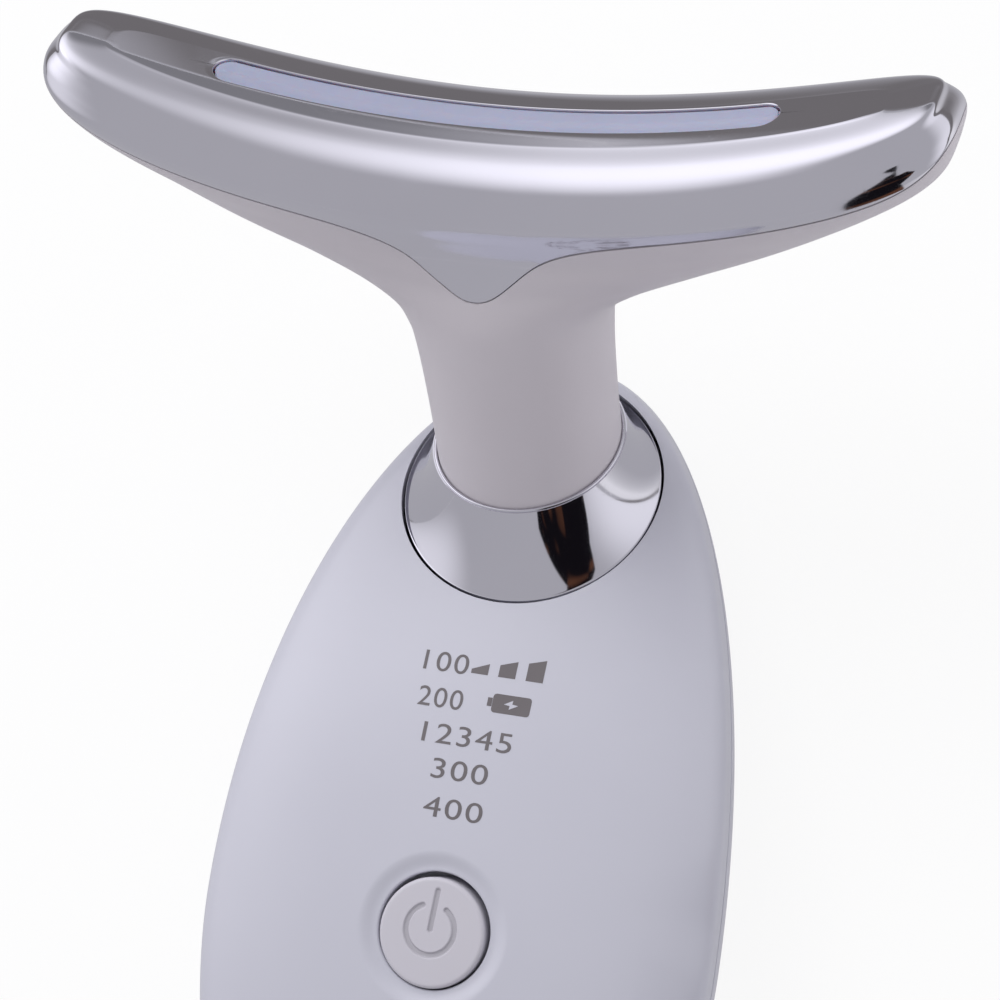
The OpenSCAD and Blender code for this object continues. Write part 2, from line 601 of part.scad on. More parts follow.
place() front_shell();
place() back_shell();
place() collar_ring();
place() collar_bead();
place() neck_shell();
place() head_plate();
place() light_window();
place() head_board();
place() treatment_lamps();
place() heater_film();
place() thermistor();
place() plate_contacts();
place() head_wires();
place() neck_clamp();
place() neck_screws();
place() power_button();
place() switch_plunger();
place() switch_body();
place() main_board();
place() controller_chip();
place() power_coil();
place() capacitors();
place() level_lamps();
place() lamp_baffle();
place() board_screws();
place() battery();
place() battery_pad();
place() battery_leads();
place() charge_port();
place() port_board();
place() motor_can();
place() motor_sleeve();
place() motor_rotor();
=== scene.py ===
"""Looks of a facial toning device: smooth shells, chromed head and collar, printed marks, light and camera.

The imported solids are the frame. Every surface here is worked out in millimetres in the handle's own
frame: x across, y towards the head from the handle's widest line, z out of the front face from the top
of the widest line. One shift carries it into the frame of the solids, in metres.
"""

import logging
import math
from collections.abc import Callable
from dataclasses import dataclass, field
from enum import Enum

import bmesh
import bpy
import numpy as np
from mathutils import Matrix, Vector

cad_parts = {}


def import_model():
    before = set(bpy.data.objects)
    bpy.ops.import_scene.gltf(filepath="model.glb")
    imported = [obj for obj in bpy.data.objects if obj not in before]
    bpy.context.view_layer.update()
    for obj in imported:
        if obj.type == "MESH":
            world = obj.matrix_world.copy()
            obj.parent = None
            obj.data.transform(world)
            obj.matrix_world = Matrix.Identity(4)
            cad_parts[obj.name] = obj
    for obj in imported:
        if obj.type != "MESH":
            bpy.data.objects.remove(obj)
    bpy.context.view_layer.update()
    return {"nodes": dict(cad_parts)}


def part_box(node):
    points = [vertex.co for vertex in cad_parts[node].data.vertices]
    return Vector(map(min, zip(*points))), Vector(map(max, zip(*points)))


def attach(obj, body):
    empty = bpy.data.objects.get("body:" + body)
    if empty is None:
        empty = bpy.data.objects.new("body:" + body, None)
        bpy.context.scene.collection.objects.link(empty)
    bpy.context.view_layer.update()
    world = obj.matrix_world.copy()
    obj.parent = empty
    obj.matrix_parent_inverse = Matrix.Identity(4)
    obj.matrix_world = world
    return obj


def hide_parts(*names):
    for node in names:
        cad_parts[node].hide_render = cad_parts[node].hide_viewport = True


LOG = logging.getLogger("toning_device")
MM = 0.001
MERGE = 1e-7
# share and tone of the painted shade in the button sign's grooves
PAINTED_SHADE_SHARE = 0.6
PAINTED_SHADE_TONE = 0.62
Array = np.ndarray
Point = tuple[float, float, float]


# ---------------------------------------------------------------- shared geometry


def dome(s: Array, e: float) -> Array:
    """Height share of a superellipse dome: (1 - s^e)^(1/e).

    Args:
        s: distance share from crown (0) to rim (1).
        e: exponent; larger is boxier.

    Returns:
        Height share from 1 at the crown to 0 at the rim.
    """
    return np.clip(1 - np.clip(s, 0, 1) ** e, 0, None) ** (1 / e)


def ease(u: Array) -> Array:
    """Smooth step 3u^2 - 2u^3 of u held between 0 and 1."""
    u = np.clip(u, 0, 1)
    return u * u * (3 - 2 * u)


def xyz(x: Array | float, y: Array | float, z: Array | float) -> Array:
    """Points from their coordinates, each an array or one number for all."""
    return np.stack(np.broadcast_arrays(x, y, z), -1)


def around(count: int) -> Array:
    """Evenly spaced angles of one full turn, without its end, which is its start again."""
    return np.linspace(0, 2 * math.pi, count, endpoint=False)


def halve(low: Array, high: Array, above: Callable[[Array], Array], steps: int) -> Array:
    """Finds crossings by halving.

    Args:
        low: values below the crossings.
        high: values above them.
        above: tells for each value whether its crossing lies above it.
        steps: number of halvings.

    Returns:
        The crossings.
    """
    for _ in range(steps):
        mid = (low + high) / 2
        up = above(mid)
        low, high = np.where(up, mid, low), np.where(up, high, mid)
    return (low + high) / 2


@dataclass(frozen=True)
class Tilt:
    """Frame of a tilted piece: a turn about X that leans Z towards +y, then a shift.

    Attributes:
        origin: place of the frame's origin in the handle's frame, in millimetres.
        lean: lean of its Z axis towards the head, in degrees.
    """

    origin: Point
    lean: float

    def out(self, p: Array) -> Array:
        """Points of this frame in the handle's frame: y' = y cos + z sin, z' = z cos - y sin, shifted."""
        c, s = math.cos(math.radians(self.lean)), math.sin(math.radians(self.lean))
        x, y, z = p[..., 0], p[..., 1], p[..., 2]
        return xyz(x, y * c + z * s, z * c - y * s) + np.array(self.origin)

    def child(self, place: Point, lean: float) -> "Tilt":
        """A further frame at a place of this one, leaning by lean more."""
        return Tilt(tuple(self.out(np.array(place, float))), self.lean + lean)


def grid_quads(rows: int, cols: int, wrap_rows: bool = False) -> Array:
    """Quads of a grid whose columns close on themselves, and whose rows close too if wrap_rows is set."""
    j = np.arange(rows if wrap_rows else rows - 1)[:, None]
    i = np.arange(cols)[None, :]
    a, b = j * cols + i, j * cols + (i + 1) % cols
    c, d = (j + 1) % rows * cols + (i + 1) % cols, (j + 1) % rows * cols + i
    return np.stack([a, b, c, d], -1).reshape(-1, 4)


def signed_volume(verts: Array, quads: Array) -> float:
    """Volume inside the quads, positive where the faces point outwards: the sum of a.(b x c) / 6."""
    tris = np.concatenate([quads[:, [0, 1, 2]], quads[:, [0, 2, 3]]])
    a, b, c = verts[tris[:, 0]], verts[tris[:, 1]], verts[tris[:, 2]]
    return float(np.einsum("ij,ij->i", a, np.cross(b, c)).sum() / 6)


def linked(name: str, data: bpy.types.ID) -> bpy.types.Object:
    """New object of the given data, linked to the scene."""
    obj = bpy.data.objects.new(name, data)
    bpy.context.scene.collection.objects.link(obj)
    return obj


def points_of(mesh: bpy.types.Mesh) -> Array:
    """Points of a mesh, n by 3, in single precision."""
    flat = np.empty(len(mesh.vertices) * 3, np.float32)
    mesh.vertices.foreach_get("co", flat)
    return flat.reshape(-1, 3)


def make_object(name: str, verts: Array, quads: Array, sharp: float) -> bpy.types.Object:
    """Object of a closed skin of quads in the frame of the solids, its faces turned outwards.

    Args:
        name: piece name.
        verts: points in metres, n by 3.
        quads: corner numbers, m by 4.
        sharp: edges that bend more than this, in degrees, stay crisp.

    Returns:
        The new object, linked to the scene.
    """
    if signed_volume(verts, quads) < 0:
        quads = quads[:, ::-1]
    mesh = bpy.data.meshes.new(name)
    mesh.vertices.add(len(verts))
    mesh.vertices.foreach_set("co", verts.astype(np.float32).ravel())
    mesh.loops.add(quads.size)
    mesh.loops.foreach_set("vertex_index", quads.astype(np.int32).ravel())
    mesh.polygons.add(len(quads))
    mesh.polygons.foreach_set("loop_start", np.arange(0, quads.size, 4, dtype=np.int32))
    mesh.update(calc_edges=True)
    tidy_mesh(mesh)
    obj = linked(name, mesh)
    shade(obj, sharp)
    return obj


def tidy_mesh(mesh: bpy.types.Mesh) -> None:
    """Merges doubled points, which closes poles, and drops faces without area."""
    bm = bmesh.new()
    bm.from_mesh(mesh)
    bmesh.ops.remove_doubles(bm, verts=bm.verts, dist=MERGE)
    bmesh.ops.dissolve_degenerate(bm, edges=bm.edges, dist=MERGE)
    bm.to_mesh(mesh)
    bm.free()


def shade(obj: bpy.types.Object, sharp: float) -> None:
    """Shades smooth, with edges that bend more than sharp degrees kept crisp."""
    obj.data.shade_smooth()
    obj.data.set_sharp_from_angle(angle=math.radians(sharp))


def carve(obj: bpy.types.Object, cutter: bpy.types.Object, sharp: float) -> None:
    """Takes cutter's volume out of obj with an exact boolean, applies it and removes the cutter."""
    mod = obj.modifiers.new("carve", "BOOLEAN")
    mod.operation, mod.solver, mod.object = "DIFFERENCE", "EXACT", cutter
    bpy.context.view_layer.update()
    graph = bpy.context.evaluated_depsgraph_get()
    mesh = bpy.data.meshes.new_from_object(obj.evaluated_get(graph))
    obj.modifiers.clear()
    old, obj.data = obj.data, mesh
    mesh.name = obj.name
    bpy.data.meshes.remove(old)
    bpy.data.objects.remove(cutter)
    shade(obj, sharp)


# ---------------------------------------------------------------- the frame


@dataclass(frozen=True)
class Handle:
    """Form of the handle in millimetres, as the solids have it.

    Attributes:
        width: width at the widest line.
        up: length from the widest line towards the head.
        down: length from the widest line away from the head.
        front: height of the front face over the widest line.
        back: depth of the back under the widest line.
        side: height of the upright side below the front face's rim.
        arch_radius: radius of the long arch of the rim, seen from the side.
        crown: how far the front's crown lies from the widest line, away from the head.
        back_crown: the same for the back.
        wall: wall thickness.
        seam: gap between the shells.
        rest_cut: how much the flat foot cuts off the back.
        up_power: exponent of the upper outline; the others are for the lower outline, the front and the back.
    """

    width: float = 56.2
    up: float = 63.0
    down: float = 56.0
    front: float = 7.4
    back: float = 18.2
    side: float = 2.2
    arch_radius: float = 166.0
    crown: float = 17.7
    back_crown: float = 8.0
    wall: float = 1.8
    seam: float = 0.15
    rest_cut: float = 0.6
    up_power: float = 2.0
    down_power: float = 1.8
    front_power: float = 2.4
    back_power: float = 2.2

    def arch(self, y: Array) -> Array:
        """Height of the widest line at y: -y^2 / 2R."""
        return -y * y / (2 * self.arch_radius)

    def inside(self, x: Array, y: Array, inset: float) -> Array:
        """Outline measure |x/w|^e + |y/a|^e.

        Args:
            x: places across.
            y: places along.
            inset: how far the outline lies within the widest line.

        Returns:
            The measure, below 1 inside the outline.
        """
        power = np.where(y > 0, self.up_power, self.down_power)
        reach = np.where(y > 0, self.up, self.down) - inset
        return np.abs(x / (self.width / 2 - inset)) ** power + np.abs(y / reach) ** power

    def edge_radius(self, centre_y: float, angle: Array, inset: float = 0.0) -> Array:
        """Distance from (0, centre_y) to the outline along each angle, by halving."""

        def within(r: Array) -> Array:
            return self.inside(r * np.cos(angle), centre_y + r * np.sin(angle), inset) < 1

        return halve(np.zeros_like(angle), np.full_like(angle, 2 * self.up), within, 50)

    def face(self, x: Array, y: Array, inset: float = 0.0) -> Array:
        """Height of the front face over (x, y).

        The face is a stack of outlines that shrink by s towards the crown. s is found by halving, and the
        height is arch(y) + front * dome(s).
        """
        shape = np.broadcast(x, y).shape

        def outside(s: Array) -> Array:
            return self.inside(x / s, (y + self.crown * (1 - s)) / s, inset) >= 1

        s = halve(np.full(shape, 1e-4), np.ones(shape), outside, 46)
        return self.arch(y) + (self.front - inset) * dome(s, self.front_power)

    def ridge(self, y: float) -> float:
        """Height of the front face on its middle line at y."""
        return float(self.face(np.array([0.0]), np.array([y]))[0])

    def shift(self) -> Array:
        """From the handle's frame to the frame of the solids, in millimetres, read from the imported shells."""
        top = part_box("front_shell")[1]
        return np.array([0.0, top.y / MM - self.up, self.back - self.rest_cut])

    def place(self, p: Array) -> Array:
        """Points of the handle's frame in the frame of the solids, in metres, as a flat list."""
        return (p.reshape(-1, 3) + self.shift()) * MM

    def skin(self, name: str, grid: Array, closed: bool = False, sharp: float = 40.0) -> bpy.types.Object:
        """Object of a grid of rings.

        Args:
            name: piece name.
            grid: points of the handle's frame, rings by columns by 3.
            closed: whether the last ring joins the first one.
            sharp: edges that bend more than this, in degrees, stay crisp.

        Returns:
            The new object in the frame of the solids.
        """
        return make_object(name, self.place(grid), grid_quads(grid.shape[0], grid.shape[1], closed), sharp)


# where the collar sits on the front face, and the neck on the collar, in millimetres and degrees
COLLAR_Y, COLLAR_SINK, COLLAR_LEAN = 48.3, 1.9, 25.9
NECK_FOOT, NECK_LEAN = (0.0, 3.0, 5.5), 18.4


# ---------------------------------------------------------------- finishes


def group_tree(name: str, inputs: dict[str, float], outputs: dict[str, str]) -> bpy.types.ShaderNodeTree:
    """New shader group with a vector input, float inputs with their defaults, and typed outputs."""
    tree = bpy.data.node_groups.new(name, "ShaderNodeTree")
    tree.interface.new_socket("Vector", in_out="INPUT", socket_type="NodeSocketVector")
    for key, value in inputs.items():
        tree.interface.new_socket(key, in_out="INPUT", socket_type="NodeSocketFloat").default_value = value
    for key, kind in outputs.items():
        tree.interface.new_socket(key, in_out="OUTPUT", socket_type=kind)
    tree.nodes.new("NodeGroupInput")
    tree.nodes.new("NodeGroupOutput")
    return tree


@dataclass
class Wiring:
    """Short-hand for adding and joining nodes in one tree."""

    tree: bpy.types.NodeTree

    def add(self, kind: str, **values: object) -> bpy.types.Node:
        """Adds a node and sets its properties and its inputs by name."""
        node = self.tree.nodes.new(kind)
        for key, value in values.items():
            if hasattr(node, key):
                setattr(node, key, value)
            else:
                node.inputs[key].default_value = value
        return node

    def join(self, source: bpy.types.NodeSocket, target: bpy.types.NodeSocket) -> None:
        """Links two sockets."""
        self.tree.links.new(source, target)

    def math(self, operation: str, a: object, b: object = 0.0) -> bpy.types.NodeSocket:
        """Result of a Math node on two sockets or numbers."""
        node = self.tree.nodes.new("ShaderNodeMath")
        node.operation = operation
        for socket, value in zip(node.inputs, (a, b)):
            if isinstance(value, bpy.types.NodeSocket):
                self.join(value, socket)
            else:
                socket.default_value = value
        return node.outputs[0]

    def blend(self, share: bpy.types.NodeSocket, a: object, b: object) -> bpy.types.NodeSocket:
        """Colour between a and b, each a socket or three numbers, by share."""
        node = self.add("ShaderNodeMix", data_type="RGBA")
        self.join(share, node.inputs["Factor"])
        for socket, value in ((node.inputs["A"], a), (node.inputs["B"], b)):
            if isinstance(value, bpy.types.NodeSocket):
                self.join(value, socket)
            else:
                socket.default_value = (*value, 1)
        return node.outputs["Result"]

    def ramp(
        self,
        value: bpy.types.NodeSocket,
        low: float,
        high: float,
        to_low: float,
        to_high: float,
        kind: str = "LINEAR",
    ) -> bpy.types.NodeSocket:
        """Maps low..high to to_low..to_high, held at the ends.

        Args:
            value: what is mapped.
            low: start of its range.
            high: end of its range.
            to_low: result at low.
            to_high: result at high.
            kind: way between the ends, as Blender names it.

        Returns:
            The mapped value's socket.
        """
        node = self.add("ShaderNodeMapRange", interpolation_type=kind)
        self.join(value, node.inputs["Value"])
        for key, number in (("From Min", low), ("From Max", high), ("To Min", to_low), ("To Max", to_high)):
            node.inputs[key].default_value = number
        return node.outputs["Result"]


def handling_group() -> bpy.types.ShaderNodeTree:
    """Marks of moulding and handling: cloudy tone, fine grain and faint smears, from three sizes of noise."""
    tree = group_tree(
        "handling",
        {"Cloud": 60.0, "Grain": 2600.0, "Smear": 25.0},
        {"Tone": "NodeSocketFloat", "Gloss": "NodeSocketFloat", "Height": "NodeSocketFloat"},
    )
    w = Wiring(tree)
    given, out = tree.nodes["Group Input"], tree.nodes["Group Output"]
    cloud = w.add("ShaderNodeTexNoise", Detail=3.0)
    grain = w.add("ShaderNodeTexNoise", Detail=2.0)
    smear = w.add("ShaderNodeTexNoise", Detail=5.0, Distortion=1.4)
    for node, key in ((cloud, "Cloud"), (grain, "Grain"), (smear, "Smear")):
        w.join(given.outputs["Vector"], node.inputs["Vector"])
        w.join(given.outputs[key], node.inputs["Scale"])
    w.join(w.ramp(cloud.outputs["Fac"], 0.3, 0.7, 0.0, 1.0), out.inputs["Tone"])
    w.join(w.ramp(smear.outputs["Fac"], 0.45, 0.75, 0.0, 1.0), out.inputs["Gloss"])
    w.join(grain.outputs["Fac"], out.inputs["Height"])
    return tree


def scratch_group() -> bpy.types.ShaderNodeTree:
    """Hair scratches: noise drawn out two ways and cut to its thin crests, broken up by a mask."""
    tree = group_tree("hair_scratches", {"Density": 900.0, "Length": 0.03}, {"Mask": "NodeSocketFloat"})
    w = Wiring(tree)
    given, out = tree.nodes["Group Input"], tree.nodes["Group Output"]
    masks = []
    for turn, seed in ((0.6, 0.0), (2.1, 7.0)):
        mapping = w.add("ShaderNodeMapping")
        mapping.inputs["Rotation"].default_value = (0.2, 0.1, turn)
        mapping.inputs["Location"].default_value = (seed, seed, 0.0)
        stretch = w.add("ShaderNodeCombineXYZ", X=1.0, Z=1.0)
        w.join(given.outputs["Length"], stretch.inputs["Y"])
        scaled = w.add("ShaderNodeVectorMath", operation="MULTIPLY")
        noise = w.add("ShaderNodeTexNoise", Detail=1.0)
        w.join(given.outputs["Vector"], mapping.inputs["Vector"])
        w.join(mapping.outputs["Vector"], scaled.inputs[0])
        w.join(stretch.outputs["Vector"], scaled.inputs[1])
        w.join(scaled.outputs["Vector"], noise.inputs["Vector"])
        w.join(given.outputs["Density"], noise.inputs["Scale"])
        crest = w.math("ABSOLUTE", w.math("SUBTRACT", noise.outputs["Fac"], 0.5))
        masks.append(w.ramp(crest, 0.0, 0.012, 1.0, 0.0))
    breaks = w.add("ShaderNodeTexNoise", Scale=130.0, Detail=2.0)
    w.join(given.outputs["Vector"], breaks.inputs["Vector"])
    both = w.math("MAXIMUM", masks[0], masks[1])
    w.join(w.math("MULTIPLY", both, w.ramp(breaks.outputs["Fac"], 0.52, 0.66, 0.0, 1.0)), out.inputs["Mask"])
    return tree


@dataclass(frozen=True)
class Finish:
    """One finish of the device.

    Attributes:
        name: material name.
        slot: the record's material slot; not used.
        color: base colour, linear.
        shade: the colour in its cloudy darker places.
        rough: roughness and how much smears add to it.
        metal: metallic value.
        grain: bump height of the fine grain, in metres.
        grain_scale: noise scale of the fine grain.
        scratch: how much hair scratches roughen it.
        coat: clear coat weight.
        specular: specular level.
        subsurface: subsurface weight.
        glow: emission strength of its own colour.
        painted_shade: name of a point attribute of painted shade, which darkens the colour by up to a quarter,
            if any.
    """

    name: str
    slot: str
    color: Point
    shade: Point
    rough: tuple[float, float] = (0.3, 0.1)
    metal: float = 0.0
    grain: float = 0.0
    grain_scale: float = 2600.0
    scratch: float = 0.0
    coat: float = 0.0
    specular: float = 0.5
    subsurface: float = 0.0
    glow: float = 0.0
    painted_shade: str = ""

    def build(self) -> bpy.types.Material:
        """The material, with tone, roughness and bump from the shared groups on Object coordinates."""
        found = bpy.data.materials.get(self.name)
        if found:
            return found
        mat = bpy.data.materials.new(self.name)
        mat.use_nodes = True
        w = Wiring(mat.node_tree)
        shader = mat.node_tree.nodes["Principled BSDF"]
        place = w.add("ShaderNodeTexCoord").outputs["Object"]
        marks = w.add("ShaderNodeGroup", node_tree=bpy.data.node_groups["handling"])
        marks.inputs["Grain"].default_value = self.grain_scale
        w.join(place, marks.inputs["Vector"])
        color = w.blend(marks.outputs["Tone"], self.color, self.shade)
        # painted shade: the colour darkens where the stored point attribute is set
        if self.painted_shade:
            stored = w.add("ShaderNodeAttribute", attribute_name=self.painted_shade)
            share = w.math("MULTIPLY", stored.outputs["Fac"], PAINTED_SHADE_SHARE)
            color = w.blend(share, color, tuple(PAINTED_SHADE_TONE * c for c in self.color))
        w.join(color, shader.inputs["Base Color"])
        rough = w.ramp(marks.outputs["Gloss"], 0.0, 1.0, self.rough[0], self.rough[0] + self.rough[1])
        if self.scratch:
            hair = w.add("ShaderNodeGroup", node_tree=bpy.data.node_groups["hair_scratches"])
            w.join(place, hair.inputs["Vector"])
            rough = w.math("ADD", rough, w.math("MULTIPLY", hair.outputs["Mask"], self.scratch))
        w.join(rough, shader.inputs["Roughness"])
        if self.grain:
            bump = w.add("ShaderNodeBump", Strength=1.0, Distance=self.grain)
            w.join(marks.outputs["Height"], bump.inputs["Height"])
            w.join(bump.outputs["Normal"], shader.inputs["Normal"])
        for key, value in (
            ("Metallic", self.metal),
            ("Coat Weight", self.coat),
            ("Coat Roughness", 0.08),
            ("Specular IOR Level", self.specular),
            ("Subsurface Weight", self.subsurface),
            ("Subsurface Scale", 0.004),
            ("Emission Color", (*self.color, 1)),
            ("Emission Strength", self.glow),
        ):
            shader.inputs[key].default_value = value
        return mat


SHELL = Finish("lavender_white_shell", "white_shell", (0.555, 0.557, 0.624), (0.541, 0.543, 0.610),
               rough=(0.28, 0.06), grain=2e-6, grain_scale=1500.0, coat=0.3)
# the button's sign grooves are darkened by painted shade from the stored sign attribute
BUTTON = Finish("satin_white_button", "white_button", (0.570, 0.555, 0.605), (0.555, 0.540, 0.590),
                rough=(0.38, 0.08), grain=3e-6, grain_scale=2200.0, painted_shade="sign")
NECK = Finish("warm_white_neck", "warm_white", (0.650, 0.613, 0.648), (0.635, 0.598, 0.633),
              rough=(0.34, 0.08), grain=2e-6, grain_scale=1500.0)
CHROME = Finish("polished_plating", "chrome_plating", (0.690, 0.684, 0.742), (0.670, 0.664, 0.722),
                rough=(0.06, 0.07), metal=1.0, grain=1.2e-7, grain_scale=700.0, scratch=0.10)
WINDOW = Finish("frosted_light_window", "frosted_window", (0.350, 0.366, 0.486), (0.338, 0.354, 0.470),
                rough=(0.30, 0.08), grain=3e-6, grain_scale=3000.0, subsurface=0.3)
INK = Finish("grey_print", "white_shell", (0.145, 0.132, 0.138), (0.170, 0.156, 0.162),
             rough=(0.5, 0.1), grain=2e-6, grain_scale=4000.0)
BOARD = Finish("green_board", "circuit_board", (0.020, 0.140, 0.050), (0.012, 0.100, 0.035),
               rough=(0.45, 0.15), grain=6e-6, grain_scale=900.0)
LAMP = Finish("lamp_phosphor", "lamp_yellow", (0.700, 0.640, 0.250), (0.640, 0.570, 0.200), rough=(0.35, 0.1))
FILM = Finish("heater_foil", "heater_film", (0.400, 0.150, 0.030), (0.330, 0.110, 0.020),
              rough=(0.4, 0.2), metal=0.3, grain=4e-6, grain_scale=1200.0)
BLACK = Finish("black_plastic", "black_plastic", (0.020, 0.020, 0.022), (0.030, 0.030, 0.032),
               rough=(0.5, 0.15), grain=8e-6, grain_scale=1800.0)
BRASS = Finish("contact_brass", "contact_brass", (0.620, 0.420, 0.130), (0.520, 0.330, 0.090),
               rough=(0.25, 0.15), metal=1.0, scratch=0.2)
WIRE = Finish("red_wire_sleeve", "wire_red", (0.380, 0.020, 0.015), (0.300, 0.015, 0.010),
              rough=(0.5, 0.1), grain=5e-6, grain_scale=1500.0)
STEEL = Finish("plain_steel", "steel", (0.480, 0.480, 0.500), (0.400, 0.400, 0.420),
               rough=(0.28, 0.15), metal=1.0, grain=3e-7, grain_scale=1500.0, scratch=0.25)
CERAMIC = Finish("capacitor_ceramic", "capacitor_tan", (0.250, 0.130, 0.050), (0.200, 0.100, 0.040),
                 rough=(0.5, 0.1), grain=4e-6, grain_scale=2500.0)
FOIL = Finish("battery_foil", "battery_foil", (0.520, 0.540, 0.600), (0.420, 0.440, 0.500),
              rough=(0.30, 0.2), metal=0.9, grain=1.2e-5, grain_scale=350.0)
FOAM = Finish("grey_foam", "foam", (0.035, 0.035, 0.040), (0.060, 0.060, 0.065),
              rough=(0.85, 0.1), grain=6e-5, grain_scale=1300.0)

NODE_FINISH = {
    "front_shell": SHELL, "back_shell": SHELL, "power_button": BUTTON, "collar_ring": CHROME,
    "collar_bead": CHROME, "head_plate": CHROME, "neck_shell": NECK, "light_window": WINDOW,
    "head_board": BOARD, "main_board": BOARD, "port_board": BOARD, "treatment_lamps": LAMP,
    "level_lamps": LAMP, "heater_film": FILM, "thermistor": BLACK, "plate_contacts": BRASS,
    "head_wires": WIRE, "battery_leads": WIRE, "neck_clamp": STEEL, "neck_screws": STEEL,
    "board_screws": STEEL, "switch_plunger": BLACK, "switch_body": BLACK, "controller_chip": BLACK,
    "power_coil": BLACK, "capacitors": CERAMIC, "lamp_baffle": BLACK, "battery": FOIL,
    "battery_pad": FOAM, "charge_port": STEEL, "motor_can": STEEL, "motor_sleeve": FOAM, "motor_rotor": STEEL,
}


def dress(obj: bpy.types.Object, finish: Finish) -> None:
    """Gives obj the finish as its only material."""
    obj.data.materials.clear()
    obj.data.materials.append(finish.build())


# ---------------------------------------------------------------- camera, light, floor


@dataclass(frozen=True)
class Glow:
    """Soft bright spot of the light tent.

    Attributes:
        azimuth: turn from +y towards +x, in degrees.
        elevation: height over the floor, in degrees.
        inner: angle from its middle up to which it is full, in degrees.
        outer: angle at which it has faded out, in degrees.
        strength: what it adds to the tent's tone.
    """

    azimuth: float
    elevation: float
    inner: float
    outer: float
    strength: float

    def toward(self) -> Point:
        """Unit vector to its middle."""
        a, e = math.radians(self.azimuth), math.radians(self.elevation)
        return (math.sin(a) * math.cos(e), math.cos(a) * math.cos(e), math.sin(e))


